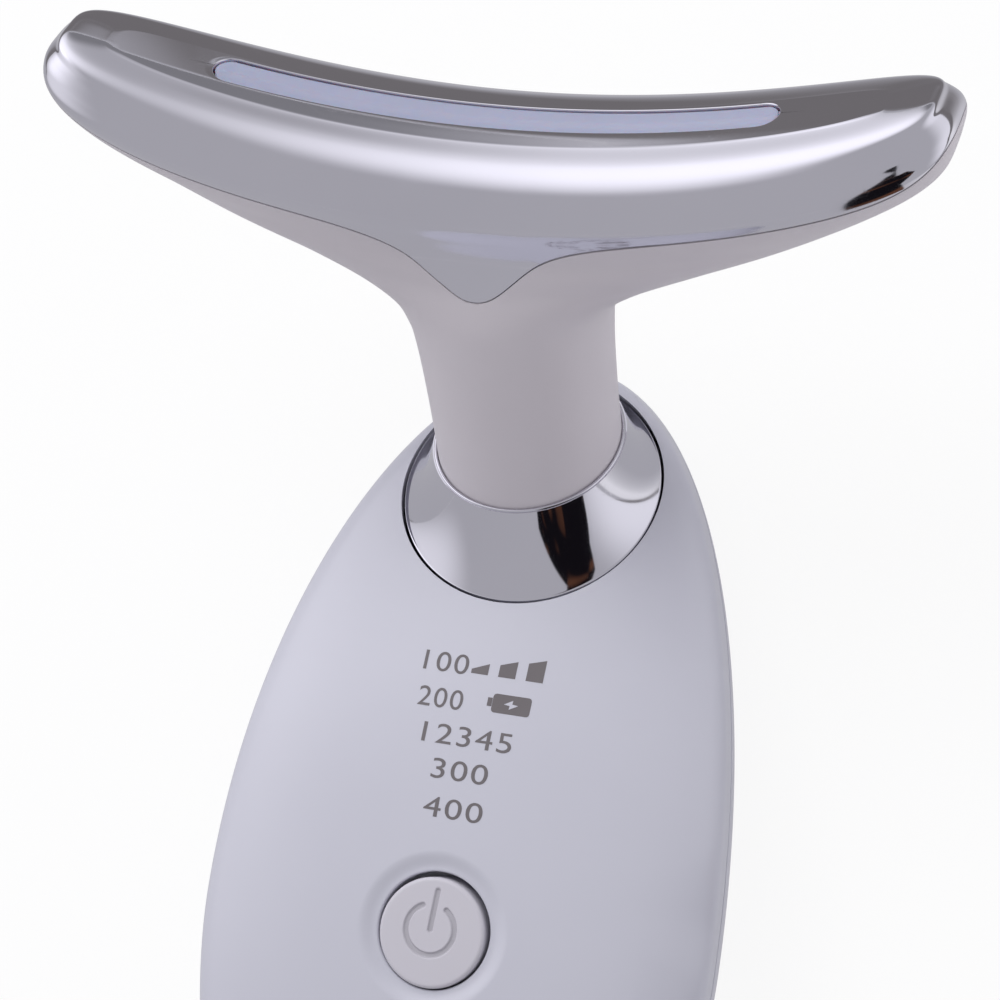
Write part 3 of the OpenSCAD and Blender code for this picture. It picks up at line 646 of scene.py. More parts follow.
@dataclass(frozen=True)
class Studio:
    """Camera, floor, light and mirror cards.

    Attributes:
        form: the handle's form.
        eye: the camera's place in the handle's frame, in millimetres; all other places are in metres.
        target: what it looks at, in the handle's frame.
        roll: its turn about its own axis, in degrees.
        lens: focal length in millimetres.
        sensor: sensor width in millimetres.
        tent: strength of the tent's even tone.
        tent_color: colour of the tent.
        glows: soft bright and dark spots of the tent.
        far_tone: tone of the ground far behind the head, in mirrors.
        far_start: where along y that tone begins.
        patch: middle of the ground's bright patch, in mirrors.
        patch_tone: tone of that patch.
        cards: corners of the dark cards, in mirrors.
        key_place: place of the soft box.
        key_aim: what it faces.
        key_side: its side length.
        key_power: its power in watts.
        floor_half: half the floor's side length.
        ground_half: half the mirrored ground's side length.
        ground_lift: height of the mirrored ground over the floor.
    """

    form: Handle
    eye: Point = (97.773, 24.506, 304.507)
    target: Point = (1.960, 45.383, 12.400)
    roll: float = -8.6528
    lens: float = 108.0
    sensor: float = 36.0
    tent: float = 0.52
    tent_color: Point = (0.98, 0.97, 1.02)
    glows: tuple[Glow, ...] = (
        Glow(-46.0, 28.0, 2.0, 40.0, 0.95),
        Glow(-85.0, 26.0, 2.0, 36.0, 0.45),
        Glow(68.0, -5.0, 10.0, 60.0, 0.50),
        Glow(-10.0, 2.0, 4.0, 15.0, -0.25),
    )
    far_tone: Point = (0.210, 0.198, 0.200)
    far_start: float = 0.10
    patch: tuple[float, float] = (0.20, 0.06)
    patch_tone: Point = (0.98, 0.97, 0.99)
    cards: tuple[tuple[Point, ...], ...] = (
        ((0.080, -0.020, 0.0), (0.085, -0.170, 0.0), (0.085, -0.170, 0.20), (0.080, -0.020, 0.20)),
        ((0.076, 0.002, 0.0), (0.050, -0.012, 0.0), (0.050, 0.010, 0.40), (0.076, 0.024, 0.40)),
        ((0.110, 0.010, 0.14), (0.070, -0.002, 0.035), (0.070, -0.002, 0.27), (0.110, 0.010, 0.27)),
    )
    key_place: Point = (-0.22, 0.50, 0.58)
    key_aim: Point = (0.0, 0.0, 0.02)
    key_side: float = 0.40
    key_power: float = 2.4
    floor_half: float = 3.0
    ground_half: float = 2.5
    ground_lift: float = 0.0003

    def camera(self) -> None:
        """The photograph's camera: at eye, looking at target, rolled about its own axis from +Y up."""
        data = bpy.data.cameras.new("camera")
        data.lens, data.sensor_width = self.lens, self.sensor
        data.clip_start, data.clip_end = 0.01, 20.0
        cam = linked("camera", data)
        eye, target = (Vector(self.form.place(np.array(point))[0]) for point in (self.eye, self.target))
        forward = (target - eye).normalized()
        right = forward.cross(Vector((0, 1, 0))).normalized()
        up = right.cross(forward)
        turn = math.radians(self.roll)
        rolled_up = up * math.cos(turn) + right * math.sin(turn)
        rolled_right = forward.cross(rolled_up)
        cam.matrix_world = Matrix((rolled_right, rolled_up, -forward)).transposed().to_4x4()
        cam.location = eye
        bpy.context.scene.camera = cam

    def sheet(self, name: str, paint: str, corners: list[Point]) -> tuple[bpy.types.Object, Wiring]:
        """A flat stage piece.

        Args:
            name: object name.
            paint: name of its material, which is left empty.
            corners: its four corners, in metres.

        Returns:
            The object, and the wiring of its material.
        """
        mesh = bpy.data.meshes.new(name)
        mesh.from_pydata(corners, [], [(0, 1, 2, 3)])
        mat = bpy.data.materials.new(paint)
        mat.use_nodes = True
        mat.node_tree.nodes.clear()
        mesh.materials.append(mat)
        return linked(name, mesh), Wiring(mat.node_tree)

    def square(self, half: float, z: float) -> list[Point]:
        """Corners of a level square about the origin."""
        return [(-half, -half, z), (half, -half, z), (half, half, z), (-half, half, z)]

    def floor(self) -> None:
        """A wide white floor: diffuse, and most of it pure white to camera, mirror and glass rays."""
        obj, w = self.sheet("floor", "white_floor", self.square(self.floor_half, 0.0))
        diffuse = w.add("ShaderNodeBsdfDiffuse", Color=(0.92, 0.92, 0.93, 1))
        white = w.add("ShaderNodeEmission", Color=(1, 1, 1, 1), Strength=1.0)
        rays = w.add("ShaderNodeLightPath")
        seen = w.math("MAXIMUM", rays.outputs["Is Camera Ray"], rays.outputs["Is Glossy Ray"])
        seen = w.math("MAXIMUM", seen, rays.outputs["Is Transmission Ray"])
        mix = w.add("ShaderNodeMixShader")
        w.join(w.math("MULTIPLY", seen, 0.9), mix.inputs["Fac"])
        w.join(diffuse.outputs["BSDF"], mix.inputs[1])
        w.join(white.outputs["Emission"], mix.inputs[2])
        w.join(mix.outputs["Shader"], w.add("ShaderNodeOutputMaterial").inputs["Surface"])

    def key(self) -> None:
        """The one lamp: a square soft box that mirror finishes don't show."""
        data = bpy.data.lights.new("key_box", "AREA")
        data.shape, data.size, data.size_y = "RECTANGLE", self.key_side, self.key_side
        data.energy = self.key_power
        obj = linked("key_box", data)
        obj.rotation_mode = "QUATERNION"
        obj.location = self.key_place
        obj.rotation_quaternion = (Vector(self.key_aim) - Vector(self.key_place)).to_track_quat("-Z", "Y")
        obj.visible_glossy = False

    def world(self) -> None:
        """A pale light tent: an even tone plus soft glows, each a smooth step of the angle to its middle."""
        world = bpy.data.worlds.new("tent")
        bpy.context.scene.world = world
        world.use_nodes = True
        w = Wiring(world.node_tree)
        back = world.node_tree.nodes["Background"]
        back.inputs["Color"].default_value = (*self.tent_color, 1)
        way = w.add("ShaderNodeTexCoord").outputs["Generated"]
        total = None
        for glow in self.glows:
            dot = w.add("ShaderNodeVectorMath", operation="DOT_PRODUCT")
            w.join(way, dot.inputs[0])
            dot.inputs[1].default_value = glow.toward()
            outer, inner = math.cos(math.radians(glow.outer)), math.cos(math.radians(glow.inner))
            spot = w.ramp(dot.outputs["Value"], outer, inner, 0.0, glow.strength, "SMOOTHSTEP")
            total = spot if total is None else w.math("ADD", total, spot)
        w.join(w.math("ADD", total, self.tent), back.inputs["Strength"])

    def card(self, name: str, corners: list[Point], paint: Callable[[Wiring], bpy.types.NodeSocket]) -> None:
        """A flat card seen only in mirror finishes.

        Args:
            name: name of the card and its material.
            corners: its four corners, in metres.
            paint: adds the nodes of its colour to the wiring and returns the colour's socket.
        """
        obj, w = self.sheet(name, name, corners)
        glow = w.add("ShaderNodeEmission", Strength=1.0)
        w.join(paint(w), glow.inputs["Color"])
        w.join(glow.outputs["Emission"], w.add("ShaderNodeOutputMaterial").inputs["Surface"])
        for kind in ("camera", "diffuse", "transmission", "shadow", "volume_scatter"):
            setattr(obj, f"visible_{kind}", False)

    def dark_paint(self, w: Wiring) -> bpy.types.NodeSocket:
        """Near black with brown patches by soft noise."""
        noise = w.add("ShaderNodeTexNoise", Scale=22.0, Detail=1.0)
        w.join(w.add("ShaderNodeTexCoord").outputs["Object"], noise.inputs["Vector"])
        share = w.ramp(noise.outputs["Fac"], 0.55, 0.75, 0.0, 1.0)
        return w.blend(share, (0.006, 0.005, 0.007), (0.12, 0.05, 0.028))

    def ground_paint(self, w: Wiring) -> bpy.types.NodeSocket:
        """The tent's tone, cloudy taupe far behind the head, and a bright patch round its middle."""
        place = w.add("ShaderNodeTexCoord").outputs["Object"]
        parts = w.add("ShaderNodeSeparateXYZ")
        w.join(place, parts.inputs["Vector"])
        clouds = w.add("ShaderNodeTexNoise", Scale=5.0, Detail=2.0)
        w.join(place, clouds.inputs["Vector"])
        far = w.ramp(parts.outputs["Y"], self.far_start, self.far_start + 0.05, 0.0, 1.0)
        far = w.math("MULTIPLY", far, w.ramp(parts.outputs["Y"], 0.65, 1.0, 1.0, 0.0))
        far = w.math("MULTIPLY", far, w.ramp(clouds.outputs["Fac"], 0.3, 0.7, 1.25, 0.75))
        gap = w.add("ShaderNodeVectorMath", operation="DISTANCE")
        w.join(place, gap.inputs[0])
        gap.inputs[1].default_value = (*self.patch, 0.0)
        near = w.ramp(gap.outputs["Value"], 0.16, 0.08, 0.0, 1.0)
        tent = tuple(self.tent * c for c in self.tent_color)
        return w.blend(near, w.blend(far, tent, self.far_tone), self.patch_tone)

    def mirrors(self) -> None:
        """What the chrome shows: a toned ground and dark upright cards on the photographer's side."""
        self.card("toned_ground", self.square(self.ground_half, self.ground_lift), self.ground_paint)
        for i, corners in enumerate(self.cards):
            self.card(f"dark_card_{i + 1}", list(corners), self.dark_paint)

    def build(self) -> None:
        """Everything around the object."""
        bpy.context.scene.view_settings.view_transform = "Standard"
        self.camera()
        self.floor()
        self.world()
        self.mirrors()
        self.key()


# ---------------------------------------------------------------- handle


@dataclass
class Shells:
    """Front and back shell of the handle."""

    form: Handle
    collar: Tilt
    collar_hole: float = 14.45
    button_y: float = 0.5
    hole: float = 6.1
    dish: float = 8.3
    dish_flat: float = 6.4
    dish_depth: float = 0.55
    port_y: float = -53.4
    port_w: float = 9.0
    port_h: float = 3.3
    port_rise: float = 1.6
    port_play: float = 0.3
    port_deep: float = 6.0
    edge: float = 0.25
    near: float = 9.8
    crowd: float = 2.2
    foot_soft: float = 0.10
    mean_reach: float = 28.0
    columns: int = 480

    def front_height(self, x: Array, y: Array, r: Array) -> Array:
        """Front face with the soft dish: face(x, y) less depth * (1 - ease) between the dish's two radii."""
        fall = 1 - ease((r - self.dish_flat) / (self.dish - self.dish_flat))
        return self.form.face(x, y) - self.dish_depth * fall

    def front(self) -> bpy.types.Object:
        """Front shell as one closed grid of rings around the button.

        Rings run up the button's hole, over its rounded edge, out across the face, down the side, round
        the seam's edge and back along the inner wall, where the last ring meets the hole's lowest one. Face
        rings crowd near the rim: r = R - (R - r0)(1-w)^p.
        """
        f = self.form
        angle = around(self.columns)
        c, s = np.cos(angle), np.sin(angle)
        outer = f.edge_radius(self.button_y, angle)
        inner = f.edge_radius(self.button_y, angle, f.wall)

        def plan(r: Array | float) -> tuple[Array, Array]:
            return r * c, self.button_y + r * s

        def face_ring(r: Array | float, drop: float = 0.0) -> Array:
            x, y = plan(r)
            return xyz(x, y, self.front_height(x, y, r) - drop)

        rings = [face_ring(self.hole, drop) for drop in (3.6, 2.4, 1.2, 0.6, 0.3)]
        for turn in np.radians((0, 22, 45, 68, 90)):
            r = self.hole + self.edge * (1 - math.cos(turn))
            rings.append(face_ring(r, self.edge * (1 - math.sin(turn))))
        rings += [face_ring(r) for r in np.linspace(self.hole + self.edge, self.near, 30)[1:]]
        for w in np.linspace(0, 1, 105)[1:-1]:
            rings.append(face_ring(outer - (outer - self.near) * (1 - w) ** self.crowd))
        x, y = plan(outer)
        rim = f.arch(y)
        rings += [xyz(x, y, rim - drop) for drop in np.linspace(0, f.side - self.edge, 7)]
        for turn in np.radians((30, 60, 90)):
            x, y = plan(outer - self.edge * (1 - math.cos(turn)))
            rings.append(xyz(x, y, rim - f.side + self.edge * (1 - math.sin(turn))))
        x, y = plan(inner)
        rings += [xyz(x, y, f.arch(y) - f.side), xyz(x, y, f.arch(y))]
        for w in np.linspace(1, 0, 22)[1:-1]:
            x, y = plan(inner - (inner - self.hole) * (1 - w) ** self.crowd)
            rings.append(xyz(x, y, f.face(x, y, f.wall)))
        obj = f.skin("front_skin", np.stack(rings), closed=True)
        carve(obj, self.collar_cutter(), 35)
        carve(obj, self.port_cutter(), 35)
        return obj

    def back_surface(self, angle: Array, s: Array, inset: float) -> Array:
        """Back shell's skin: outlines shrink by s to the back's crown, z = rim + (depth - rim) * dome(s).

        Args:
            angle: column angles.
            s: share of the outline, from 0 at the crown to 1 at the rim.
            inset: how far the skin lies inside the outer one. The outer one has a flat foot.

        Returns:
            One ring of points.
        """
        f = self.form
        r = f.edge_radius(0.0, angle, inset)
        x, y = r * np.cos(angle), r * np.sin(angle)
        rim = f.arch(y) - f.side - f.seam
        z = rim + (-f.back + inset - rim) * dome(s, f.back_power)
        base = -f.back + f.rest_cut
        if inset == 0.0:
            z = base + ((z - base) + np.sqrt((z - base) ** 2 + self.foot_soft**2)) / 2
        return xyz(x * s, y * s - f.back_crown * (1 - s), z)

    def back(self) -> bpy.types.Object:
        """Back shell as a closed skin: inner bowl, rounded seam edge, outer bowl; both close in a pole."""
        f = self.form
        angle = around(360)
        rings = [self.back_surface(angle, math.sin(math.radians(q)), f.wall) for q in np.linspace(0, 90, 24)]
        x, y = rings[-1][:, 0], rings[-1][:, 1]
        rings[-1] = xyz(x, y, f.arch(y) - f.side - f.seam)
        rim = self.back_surface(angle, 1.0, 0.0)
        for turn in np.radians((90, 60, 30)):
            share = 1 - self.edge * (1 - math.cos(turn)) / self.mean_reach
            z = f.arch(rim[:, 1]) - f.side - f.seam - self.edge * (1 - math.sin(turn))
            rings.append(xyz(rim[:, 0] * share, rim[:, 1] * share, z))
        for q in np.linspace(90, 0, 130)[3:]:
            rings.append(self.back_surface(angle, math.sin(math.radians(q)), 0.0))
        obj = f.skin("back_skin", np.stack(rings))
        carve(obj, self.port_cutter(), 35)
        return obj

    def collar_cutter(self) -> bpy.types.Object:
        """Cylinder that opens the front shell under the collar."""
        angle = around(256)
        low, high = -9.0, 12.0
        profile = ((0.0, low), (self.collar_hole, low), (self.collar_hole, high), (0.0, high))
        rings = [xyz(r * np.cos(angle), r * np.sin(angle), z) for r, z in profile]
        return self.form.skin("collar_cutter", self.collar.out(np.stack(rings)))

    def port_cutter(self) -> bpy.types.Object:
        """Stadium-shaped bar along the handle that opens both shells at the charging inlet."""
        angle = around(96)
        z = self.form.arch(np.array(self.form.down)) - self.form.side + self.port_rise
        radius = self.port_h / 2 + self.port_play
        reach = (self.port_w - self.port_h) / 2
        x = radius * np.cos(angle) + reach * np.sign(np.round(np.cos(angle), 9))
        up = z + radius * np.sin(angle)
        low, high = -70.0, self.port_y + self.port_deep
        profile = ((0.0, low), (1.0, low), (1.0, high), (0.0, high))
        return self.form.skin("port_cutter", np.stack([xyz(x * k, y, z + (up - z) * k) for k, y in profile]))

    def build(self) -> None:
        """Both shells, dressed, riding on the body and standing for their solids."""
        for obj, node in ((self.front(), "front_shell"), (self.back(), "back_shell")):
            dress(obj, SHELL)
            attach(obj, "root")
            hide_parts(node)
            LOG.info("%s: %d faces", obj.name, len(obj.data.polygons))


# ---------------------------------------------------------------- collar


@dataclass
class Collar:
    """Dished chrome collar with the bead around the neck's foot."""

    form: Handle
    frame: Tilt
    radius: float = 14.15
    rim: float = 1.2
    foot_rise: float = 5.5
    foot_shift: float = 3.0
    foot_tilt: float = 8.2
    neck_r: float = 9.95
    bead_r: float = 0.2
    round: float = 0.08
    lean_off: float = 10.2
    hug_gap: float = 0.04
    hollow: float = 2.4
    draw: float = 0.04
    sink: float = 0.5
    ledge: float = 0.12
    lip: float = 0.3
    bore_step: tuple[float, float] = (-0.9, -2.6)
    bore_play: float = 0.9

    def hug(self, t: Array) -> Array:
        """Radius just outside the neck where it passes the foot's plane: R / sqrt(1 - (cos t sin lean)^2)."""
        off = math.sin(math.radians(self.lean_off))
        return self.neck_r / np.sqrt(1 - (np.cos(t) * off) ** 2) + self.hug_gap

    def ring(self) -> bpy.types.Object:
        """Closed ring: outer wall, rounded rim, hollow slope to the foot's circle, and back down the bore.

        The slope joins the rim's circle a to the foot's tilted circle b as a + (b - a)u. It is made hollow by
        a share hollow * u * (1 - u), which draws it in and lowers it.
        """
        t = around(360)
        sn, cs = np.sin(t), np.cos(t)
        tilt_c, tilt_s = math.cos(math.radians(self.foot_tilt)), math.sin(math.radians(self.foot_tilt))

        def circle(r: float, z: float) -> Array:
            return xyz(r * sn, r * cs, z)

        def foot(r: Array | float) -> Array:
            return xyz(r * sn, self.foot_shift + r * cs * tilt_c, self.foot_rise - r * cs * tilt_s)

        rings = [circle(self.radius, -self.rim), circle(self.radius, -self.rim / 2)]
        for turn in np.radians(np.linspace(0, 90, 7)):
            drop = self.round * (1 - math.sin(turn))
            rings.append(circle(self.radius - self.round * (1 - math.cos(turn)), -drop))
        hug = self.hug(t)
        low, high = circle(self.radius - self.round, 0.0), foot(hug + 2 * self.bead_r + self.ledge)
        for u in np.linspace(0, 1, 60)[1:]:
            share = self.hollow * u * (1 - u)
            p = (low + (high - low) * u) * np.array([1 - self.draw * share, 1.0, 1.0])
            p[:, 1] -= self.draw * share * (p[:, 1] - self.foot_shift * u)
            p[:, 2] -= self.sink * share
            rings.append(p)
        rings += [foot(hug + self.lip), foot(hug), foot(hug) + np.array((0.0, *self.bore_step))]
        rings.append(circle(self.neck_r + self.bore_play, -self.rim))
        return self.form.skin("collar_skin", self.frame.out(np.stack(rings)), closed=True, sharp=50)

    def bead(self) -> bpy.types.Object:
        """Thin torus on the foot's circle: the tube of bead_r is a little flattened."""
        t = around(360)
        rings = []
        for a in around(20):
            r = self.hug(t) + self.bead_r * (1 + math.cos(a))
            rings.append(xyz(r * np.sin(t), r * np.cos(t), self.bead_r * (0.1 + 0.9 * math.sin(a))))
        foot = self.frame.child((0, self.foot_shift, self.foot_rise), self.foot_tilt)
        return self.form.skin("collar_bead_skin", foot.out(np.stack(rings)), closed=True, sharp=80)

    def build(self) -> None:
        """Ring and bead, dressed in chrome."""
        for obj, node in ((self.ring(), "collar_ring"), (self.bead(), "collar_bead")):
            dress(obj, CHROME)
            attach(obj, "root")
            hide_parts(node)
            LOG.info("%s: %d faces", obj.name, len(obj.data.polygons))


# ---------------------------------------------------------------- head


@dataclass
class Head:
    """Neck, arms, chromed plate and light window, in the neck's frame: z along the neck, y to the back."""

    form: Handle
    frame: Tilt
    neck_r: float = 9.95
    width: float = 94.0
    height: float = 39.8
    thick: float = 19.8
    face_radius: float = 135.0
    bow: float = 0.8
    arm_wall: float = 1.7
    plate_wall: float = 1.2
    plate_h: float = 6.7
    dip_h: float = 8.4
    dip_w: float = 6.2
    gap: float = 0.12
    slot_l: float = 59.0
    slot_w: float = 4.0
    slot_back: float = 1.1
    soft: float = 0.055
    start: float = 0.35
    neck_wall: float = 3.75
    mouth_edge: float = 0.12
    window_sink: float = 0.12
    window_slant: float = 0.30
    columns: int = 480
    stations: Array = field(init=False)

    def __post_init__(self) -> None:
        """Stations of the loft: level, half width, half depth, exponent."""
        w, t, h, r = self.width / 2, self.thick / 2, self.height, self.neck_r
        self.stations = np.array([
            (-13, r, r, 2), (0, r, r, 2), (7, r + 0.1, r + 0.1, 2),
            (14, r + 0.45, r + 0.25, 2), (18, r + 1.15, r + 0.35, 2), (h - 18.8, r + 3.6, r + 0.4, 1.85),
            (h - 16.3, 0.41 * w, t + 0.1, 1.8), (h - 14.3, 0.59 * w, t - 0.4, 1.8),
            (h - 12.3, 0.75 * w, t - 0.5, 2.1), (h - 10.3, 0.89 * w, t - 0.6, 2.4),
            (h - 7.8, 0.975 * w, t, 3.2), (h - 5.3, w, t + 0.7, 3.6), (h - 3.3, w, t, 3.4),
            (h - 1.5, 0.97 * w, t - 1.6, 3.6), (h - 0.4, 0.945 * w, t - 3.7, 4.2),
            (h, 0.86 * w, t - 6.5, 4.5),
        ])

    @property
    def last(self) -> float:
        """Number of the last station."""
        return float(len(self.stations) - 1)

    def station(self, v: Array) -> Array:
        """Station at each row number v, by a smooth curve through four neighbours."""
        top = len(self.stations) - 1
        i = np.clip(np.floor(v).astype(int), 0, top - 1)
        u = (v - i)[..., None]
        a, b, c, d = (self.stations[np.clip(i + k, 0, top)] for k in (-1, 0, 1, 2))
        square, cube = 2 * a - 5 * b + 4 * c - d, 3 * b - 3 * c + d - a
        return 0.5 * (2 * b + (c - a) * u + square * u**2 + cube * u**3)

    def rise(self, x: Array) -> Array:
        """Rise of the hollow face from its middle: x^2 / 2R."""
        return x * x / (2 * self.face_radius)

    def lower(self, y: Array, level: Array | float) -> Array:
        """How far the face's front rounds down: soft d^2 / (1 + (d/3)^2), d from the slot."""
        ahead = np.clip(self.slot_back - self.slot_w / 2 - y, 0, None)
        return self.soft * ahead**2 / (1 + (ahead / 3) ** 2) * ease((level - self.height + 5) / 3)

    def point(self, v: Array, turn: Array, inset: Array | float = 0.0) -> Array:
        """Points of the loft: (a cos, b sin) / (|cos|^k + |sin|^k)^(1/k), lifted by the face's rise.

        Args:
            v: row numbers.
            turn: column angles.
            inset: how far the points lie inside the skin.

        Returns:
            The points in the neck's frame.
        """
        k = self.station(v)
        c, s = np.cos(turn), np.sin(turn)
        share = (np.abs(c) ** k[..., 3] + np.abs(s) ** k[..., 3]) ** (1 / k[..., 3])
        x, y = (k[..., 1] - inset) * c / share, -(k[..., 2] - inset) * s / share
        z = k[..., 0] + self.rise(x) - self.lower(y, k[..., 0])
        return xyz(x, y + self.bow * (2 * x / self.width) ** 2, z)

    def edge_level(self, x: Array) -> Array:
        """Parting line, as a level: parallel to the face, with a dip at the neck, raised at the tips."""
        bar = self.height - self.plate_h - self.dip_h / (1 + (np.abs(x) / self.dip_w) ** 2.3)
        return bar + 3 * (np.abs(x) / (self.width / 2)) ** 16

    def parting(self, turn: Array, gap: float) -> Array:
        """Row number at which each column crosses the parting line lowered by gap, by halving."""

        def below(v: Array) -> Array:
            p = self.point(v, turn)
            return p[:, 2] - self.rise(p[:, 0]) < self.edge_level(p[:, 0]) - gap

        return halve(np.full_like(turn, 4.0), np.full_like(turn, self.last - 2), below, 46)

    def neck(self) -> bpy.types.Object:
        """Neck and arms: outer rows up to the parting line, a lip, and inner rows back down the bore."""
        turn = around(self.columns)
        top = self.parting(turn, self.gap)

        def row(w: float) -> Array:
            return self.start + (top - self.start) * w

        rings = [self.point(row(w), turn) for w in np.linspace(0, 1, 120)]
        rings[-1] = self.point(row(0.9985), turn)
        rings += [self.point(top, turn, 0.10), self.point(top, turn, self.arm_wall)]
        for w in np.linspace(1, 0, 40)[1:]:
            level = self.station(row(w))[..., 0]
            inset = self.neck_wall + (self.arm_wall - self.neck_wall) * ease((level - 20) / 6)
            rings.append(self.point(row(w), turn, inset))
        return self.form.skin("neck_skin", self.frame.out(np.stack(rings)), closed=True, sharp=50)

    def slot(self, turn: Array, grow: float) -> Array:
        """Slot outline: a stadium grown by grow, its points matched to the loft's columns by width share."""
        outline = self.point(np.full_like(turn, self.last), turn)
        half, r = self.slot_l / 2 + grow, self.slot_w / 2 + grow
        x = half * outline[:, 0] / np.abs(outline[:, 0]).max()
        y = np.sqrt(np.clip(r * r - np.clip(np.abs(x) - (half - r), 0, None) ** 2, 0, None))
        return np.stack([x, np.where(outline[:, 1] > 0, y, -y) + self.slot_back], -1)

    def on_face(self, xy: Array, drop: Array | float) -> Array:
        """Points at the given places, drop below the hollow face."""
        return xyz(xy[:, 0], xy[:, 1], self.height + self.rise(xy[:, 0]) - drop)

    def plate(self) -> bpy.types.Object:
        """Chromed plate: parting edge, outer rows, cap to the slot's edge, slot wall, inner rows."""
        turn = around(self.columns)
        low = self.parting(turn, 0.0)
        rings = [self.point(low, turn, 0.12), self.point(low + 0.02, turn, 0.03)]
        rings += [self.point(low + (self.last - low) * w, turn) for w in np.linspace(0, 1, 110)[1:]]
        outline, mouth = rings[-1][:, :2], self.slot(turn, self.mouth_edge)
        for q in np.linspace(0, 1, 16)[1:]:
            xy = outline * (1 - q) + mouth * q
            rings.append(self.on_face(xy, self.lower(xy[:, 1], self.height)))
        for a in np.radians((30, 60, 90)):
            xy = self.slot(turn, self.mouth_edge * (1 - math.sin(a)))
            rings.append(self.on_face(xy, self.mouth_edge * (1 - math.cos(a))))
        rings += [self.on_face(self.slot(turn, 0.0), drop) for drop in (0.5, self.plate_wall)]
        rings.append(self.on_face(self.point(np.full_like(turn, self.last), turn, 0.6), self.plate_wall))
        for w in np.linspace(1, 0, 30)[1:]:
            p = self.point(low + (self.last - low) * w, turn, self.plate_wall)
            p[:, 2] -= self.plate_wall * ease((w - 0.4) / 0.6)
            rings.append(p)
        return self.form.skin("plate_skin", self.frame.out(np.stack(rings)), closed=True, sharp=50)

    def window(self) -> bpy.types.Object:
        """Light window: a stadium bar that follows the face, just under the plate, slanting in front."""
        a = around(320)
        half, r = self.slot_l / 2, self.slot_w / 2
        top = [(share, 0.0) for share in (0.0, 0.15, 0.3, 0.45, 0.6, 0.73)]
        rounding = [(0.85, 0.02), (0.94, 0.06), (0.98, 0.14), (1.0, 0.3)]
        wall_and_base = [(1.0, 1.0), (1.0, 2.4), (0.5, 2.45), (0.0, 2.45)]
        rings = []
        for share, drop in top + rounding + wall_and_base:
            across = (r - self.gap) * share
            x = across * np.cos(a) + (half - r) * np.clip(3 * np.cos(a), -1, 1)
            y = across * np.sin(a)
            front = self.window_slant * ease((-y - 0.1) / 1.0)
            level = self.height - self.window_sink + self.rise(x) - front - drop
            rings.append(xyz(x, y + self.slot_back, level))
        return self.form.skin("window_skin", self.frame.out(np.stack(rings)), sharp=60)

    def build(self) -> None:
        """Neck, plate and window, each standing for its solid."""
        for obj, node, finish in (
            (self.neck(), "neck_shell", NECK),
            (self.plate(), "head_plate", CHROME),
            (self.window(), "light_window", WINDOW),
        ):
            dress(obj, finish)
            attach(obj, "root")
            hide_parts(node)
            LOG.info("%s: %d faces", obj.name, len(obj.data.polygons))


# ---------------------------------------------------------------- button and marks


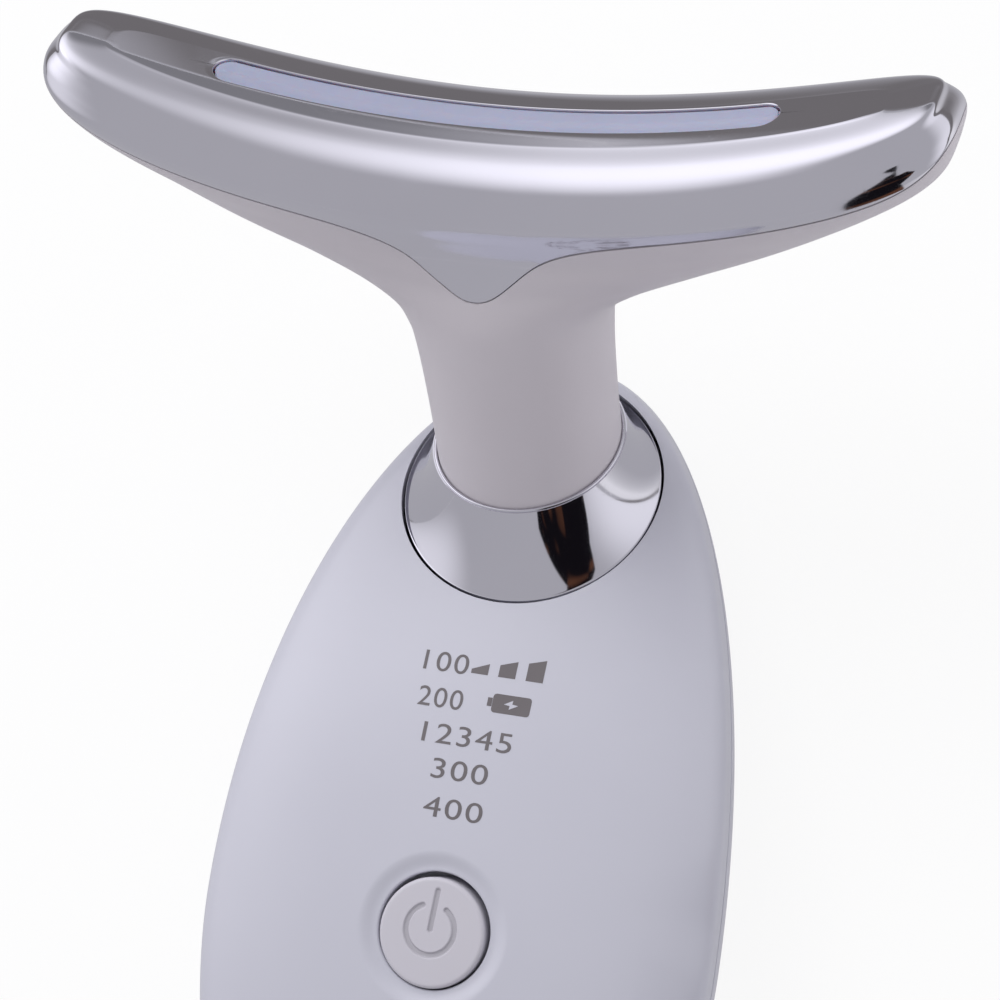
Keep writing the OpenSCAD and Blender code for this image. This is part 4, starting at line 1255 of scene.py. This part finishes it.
@dataclass
class Button:
    """Push button with the standby sign cut into its cap."""

    form: Handle
    y: float = 0.5
    radius: float = 5.75
    top: float = 0.0
    edge: float = 0.45
    low: float = -4.65
    sign_r: float = 2.65
    groove: float = 0.30
    depth: float = 0.22
    gap_angle: float = 60.0
    sign_turn: float = -3.5
    sign_at: tuple[float, float] = (-0.17, 0.30)
    bar_end: float = 4.05
    off_centre: tuple[float, float] = (-0.06, -0.22)
    fine_r: float = 4.6
    crown: float = 0.05
    brim: float = 1.0

    def groove_depth(self, x: Array, y: Array) -> Array:
        """Depth of the sign: an open ring and a bar, each a soft groove by distance to its middle line.

        Args:
            x: places across, from the cap's middle.
            y: places along.

        Returns:
            Depth of the groove at each place, 0 beside it.
        """
        turn = math.radians(self.sign_turn)
        x, y = x - self.sign_at[0], y - self.sign_at[1]
        x, y = x * math.cos(turn) + y * math.sin(turn), y * math.cos(turn) - x * math.sin(turn)
        r = np.hypot(x, y)
        off = np.abs(np.arctan2(x, y))
        half_gap = math.radians(self.gap_angle) / 2
        end_x, end_y = self.sign_r * math.sin(half_gap), self.sign_r * math.cos(half_gap)
        end = np.hypot(x - np.sign(x + 1e-9) * end_x, y - end_y)
        ring = np.where(off > half_gap, np.abs(r - self.sign_r), end)
        bar = np.hypot(x, y - np.clip(y, 0.0, self.bar_end))
        return self.depth * (1 - ease((np.minimum(ring, bar) - self.groove * 0.55) / (self.groove * 0.7)))

    def painted_shade(self, obj: bpy.types.Object, centre: Array) -> None:
        """Stores the sign as the point attribute of painted shade that darkens the finish in its grooves: its
        depth share at each point.
        """
        p = points_of(obj.data) / MM - self.form.shift() - centre
        x, y = p[:, 0] - self.off_centre[0], p[:, 1] - self.off_centre[1]
        share = np.where(p[:, 2] > -1, self.groove_depth(x, y) / self.depth, 0.0)
        stored = obj.data.attributes.new("sign", "FLOAT", "POINT")
        stored.data.foreach_set("value", share.astype(np.float32))

    def build(self) -> None:
        """The cap, in rings from the middle of its top to the middle of its bottom."""
        a = around(384)

        def ring(r: float, z: Array | float) -> Array:
            return xyz(r * np.cos(a), r * np.sin(a), z)

        flat = self.radius - self.edge
        rings = []
        for r in np.concatenate([np.linspace(0, self.fine_r, 93), np.linspace(self.fine_r, flat, 6)[1:]]):
            groove = self.groove_depth(r * np.cos(a), r * np.sin(a))
            rings.append(ring(r, self.top - self.crown * (r / flat) ** 2 - groove))
        for turn in np.radians(np.linspace(0, 90, 9)[1:]):
            z = self.top - self.crown - self.edge * (1 - math.cos(turn))
            rings.append(ring(flat + self.edge * math.sin(turn), z))
        wide, brim_top = self.radius + self.brim, self.low + 0.75
        rings += [ring(self.radius, -1.6), ring(self.radius, self.low + 0.8)]
        rings += [ring(wide, brim_top), ring(wide, self.low), ring(0.0, self.low)]
        grid = np.stack(rings)
        grid[:-4, :, :2] += np.array(self.off_centre)
        centre = np.array([0.0, self.y, self.form.ridge(self.y)])
        obj = self.form.skin("button_cap", grid + centre, sharp=50)
        # painted shade in the sign's grooves, stored as a point attribute
        self.painted_shade(obj, centre)
        dress(obj, BUTTON)
        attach(obj, "button")
        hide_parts("power_button")
        LOG.info("%s: %d faces", obj.name, len(obj.data.polygons))


class Mark(Enum):
    """Kinds of printed marks."""

    DIGITS = "digits"
    BARS = "bars"
    CELL = "cell"
    BOLT = "bolt"


@dataclass
class Print:
    """Grey printed marks above the button: plain numbers, level bars and a battery sign."""

    form: Handle
    height: float = 2.1
    lift: float = 0.02
    thin: float = 0.004
    bolt_lift: float = 0.012
    rows: tuple[tuple[Mark, str, float, float, float], ...] = (
        (Mark.DIGITS, "100", -6.4, 27.2, 5.0),
        (Mark.DIGITS, "200", -6.2, 23.4, 5.0),
        (Mark.DIGITS, "12345", -4.9, 19.7, 9.9),
        (Mark.DIGITS, "300", -3.1, 16.1, 6.2),
        (Mark.DIGITS, "400", -3.2, 12.1, 6.5),
        (Mark.BARS, "", -1.0, 27.5, 8.3),
        (Mark.CELL, "", 1.45, 23.75, 4.75),
        (Mark.BOLT, "", 1.45, 23.75, 4.75),
    )

    def settle(self, obj: bpy.types.Object) -> None:
        """Lays a flat mesh in millimetres on the face: z = face(x, y) + lift, in the frame of the solids."""
        p = points_of(obj.data).astype(float)
        p[:, 2] = self.form.face(p[:, 0], p[:, 1]) + self.lift + p[:, 2]
        obj.data.vertices.foreach_set("co", self.form.place(p).astype(np.float32).ravel())
        obj.data.update()

    def digits(self, name: str, text: str, x: float, y: float, width: float) -> bpy.types.Object:
        """Plain numbers as a thin mesh.

        Args:
            name: piece name.
            text: the digits.
            x: left end.
            y: foot.
            width: width of the whole number.

        Returns:
            The new object, flat, in millimetres.
        """
        curve = bpy.data.curves.new(name, "FONT")
        curve.body, curve.size, curve.space_character, curve.extrude = text, 1.0, 1.1, self.thin
        curve.resolution_u = 6
        temp = linked(name, curve)
        bpy.context.view_layer.update()
        mesh = bpy.data.meshes.new_from_object(temp.evaluated_get(bpy.context.evaluated_depsgraph_get()))
        bpy.data.objects.remove(temp)
        p = points_of(mesh)
        low, high = p.min(0), p.max(0)
        p[:, 0] = x + (p[:, 0] - low[0]) * width / (high[0] - low[0])
        p[:, 1] = y + (p[:, 1] - low[1]) * self.height / (high[1] - low[1])
        mesh.vertices.foreach_set("co", p.ravel())
        return linked(name, mesh)

    def plate(self, name: str, outlines: list[list[tuple[float, float]]]) -> bpy.types.Object:
        """Thin raised shapes from closed outlines, top and sides, as one mesh."""
        verts, faces = [], []
        for outline in outlines:
            base, k = len(verts), len(outline)
            verts += [(px, py, z) for z in (self.thin, -self.thin) for px, py in outline]
            faces.append([base + i for i in range(k)])
            faces.append([base + k + i for i in reversed(range(k))])
            faces += [[base + k + i, base + k + (i + 1) % k, base + (i + 1) % k, base + i] for i in range(k)]
        mesh = bpy.data.meshes.new(name)
        mesh.from_pydata(verts, [], faces)
        mesh.update()
        return linked(name, mesh)

    def bars(self, name: str, x: float, y: float, width: float) -> bpy.types.Object:
        """Three level bars that grow to the right, each with a slanted top."""
        shapes = []
        step = width / 2.75
        for i, (low, high) in enumerate(((0.45, 1.2), (1.25, 1.85), (1.85, 2.4))):
            left, right = x + i * step, x + i * step + 0.62 * step
            shapes.append([(left, y), (right, y), (right, y + high), (left, y + low)])
        return self.plate(name, shapes)

    def cell(self, name: str, x: float, y: float, width: float) -> bpy.types.Object:
        """Battery sign: a rounded body with a nub on its left."""
        h, r = 2.0, 0.35
        left, right = x + 0.55, x + width
        corners = (
            (right - r, y + h - r, 0),
            (left + r, y + h - r, 90),
            (left + r, y + r, 180),
            (right - r, y + r, 270),
        )
        body = []
        for px, py, start in corners:
            turns = [math.radians(start + d) for d in (0, 30, 60, 90)]
            body += [(px + r * math.cos(a), py + r * math.sin(a)) for a in turns]
        nub = [(x, y + 0.6), (x + 0.5, y + 0.6), (x + 0.5, y + 1.5), (x, y + 1.5)]
        return self.plate(name, [body, nub])

    def bolt(self, name: str, x: float, y: float, width: float) -> bpy.types.Object:
        """Small pale zigzag over the middle of the battery sign."""
        cx, cy = x + 0.55 * width, y + 1.0
        half = [(-0.78, -0.02), (0.16, 0.50), (0.12, 0.10)]
        shape = [(cx + px, cy + py) for px, py in half + [(-px, -py) for px, py in half]]
        obj = self.plate(name, [shape])
        for v in obj.data.vertices:
            v.co.z += self.bolt_lift
        return obj

    def build(self) -> None:
        """All marks, laid on the face."""
        for i, (kind, text, x, y, width) in enumerate(self.rows):
            name = f"print_{kind.value}_{i + 1}"
            if kind is Mark.DIGITS:
                obj = self.digits(name, text, x, y, width)
            else:
                make = {Mark.BARS: self.bars, Mark.CELL: self.cell, Mark.BOLT: self.bolt}[kind]
                obj = make(name, x, y, width)
            self.settle(obj)
            dress(obj, SHELL if kind is Mark.BOLT else INK)
            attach(obj, "root")
            LOG.info("%s on the front shell", name)


# ---------------------------------------------------------------- all


def main() -> None:
    """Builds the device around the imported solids."""
    logging.basicConfig(level=logging.INFO, format="%(name)s: %(message)s")
    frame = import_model()
    handling_group()
    scratch_group()
    form = Handle()
    Studio(form).build()
    for name, node in frame["nodes"].items():
        dress(node, NODE_FINISH[name])
        LOG.info("%s dressed in %s", name, NODE_FINISH[name].name)
    collar = Tilt((0.0, COLLAR_Y, form.ridge(COLLAR_Y) - COLLAR_SINK), COLLAR_LEAN)
    neck = collar.child(NECK_FOOT, NECK_LEAN)
    Shells(form, collar).build()
    Collar(form, collar).build()
    Head(form, neck).build()
    Button(form).build()
    Print(form).build()


if __name__ == "__main__":
    main()
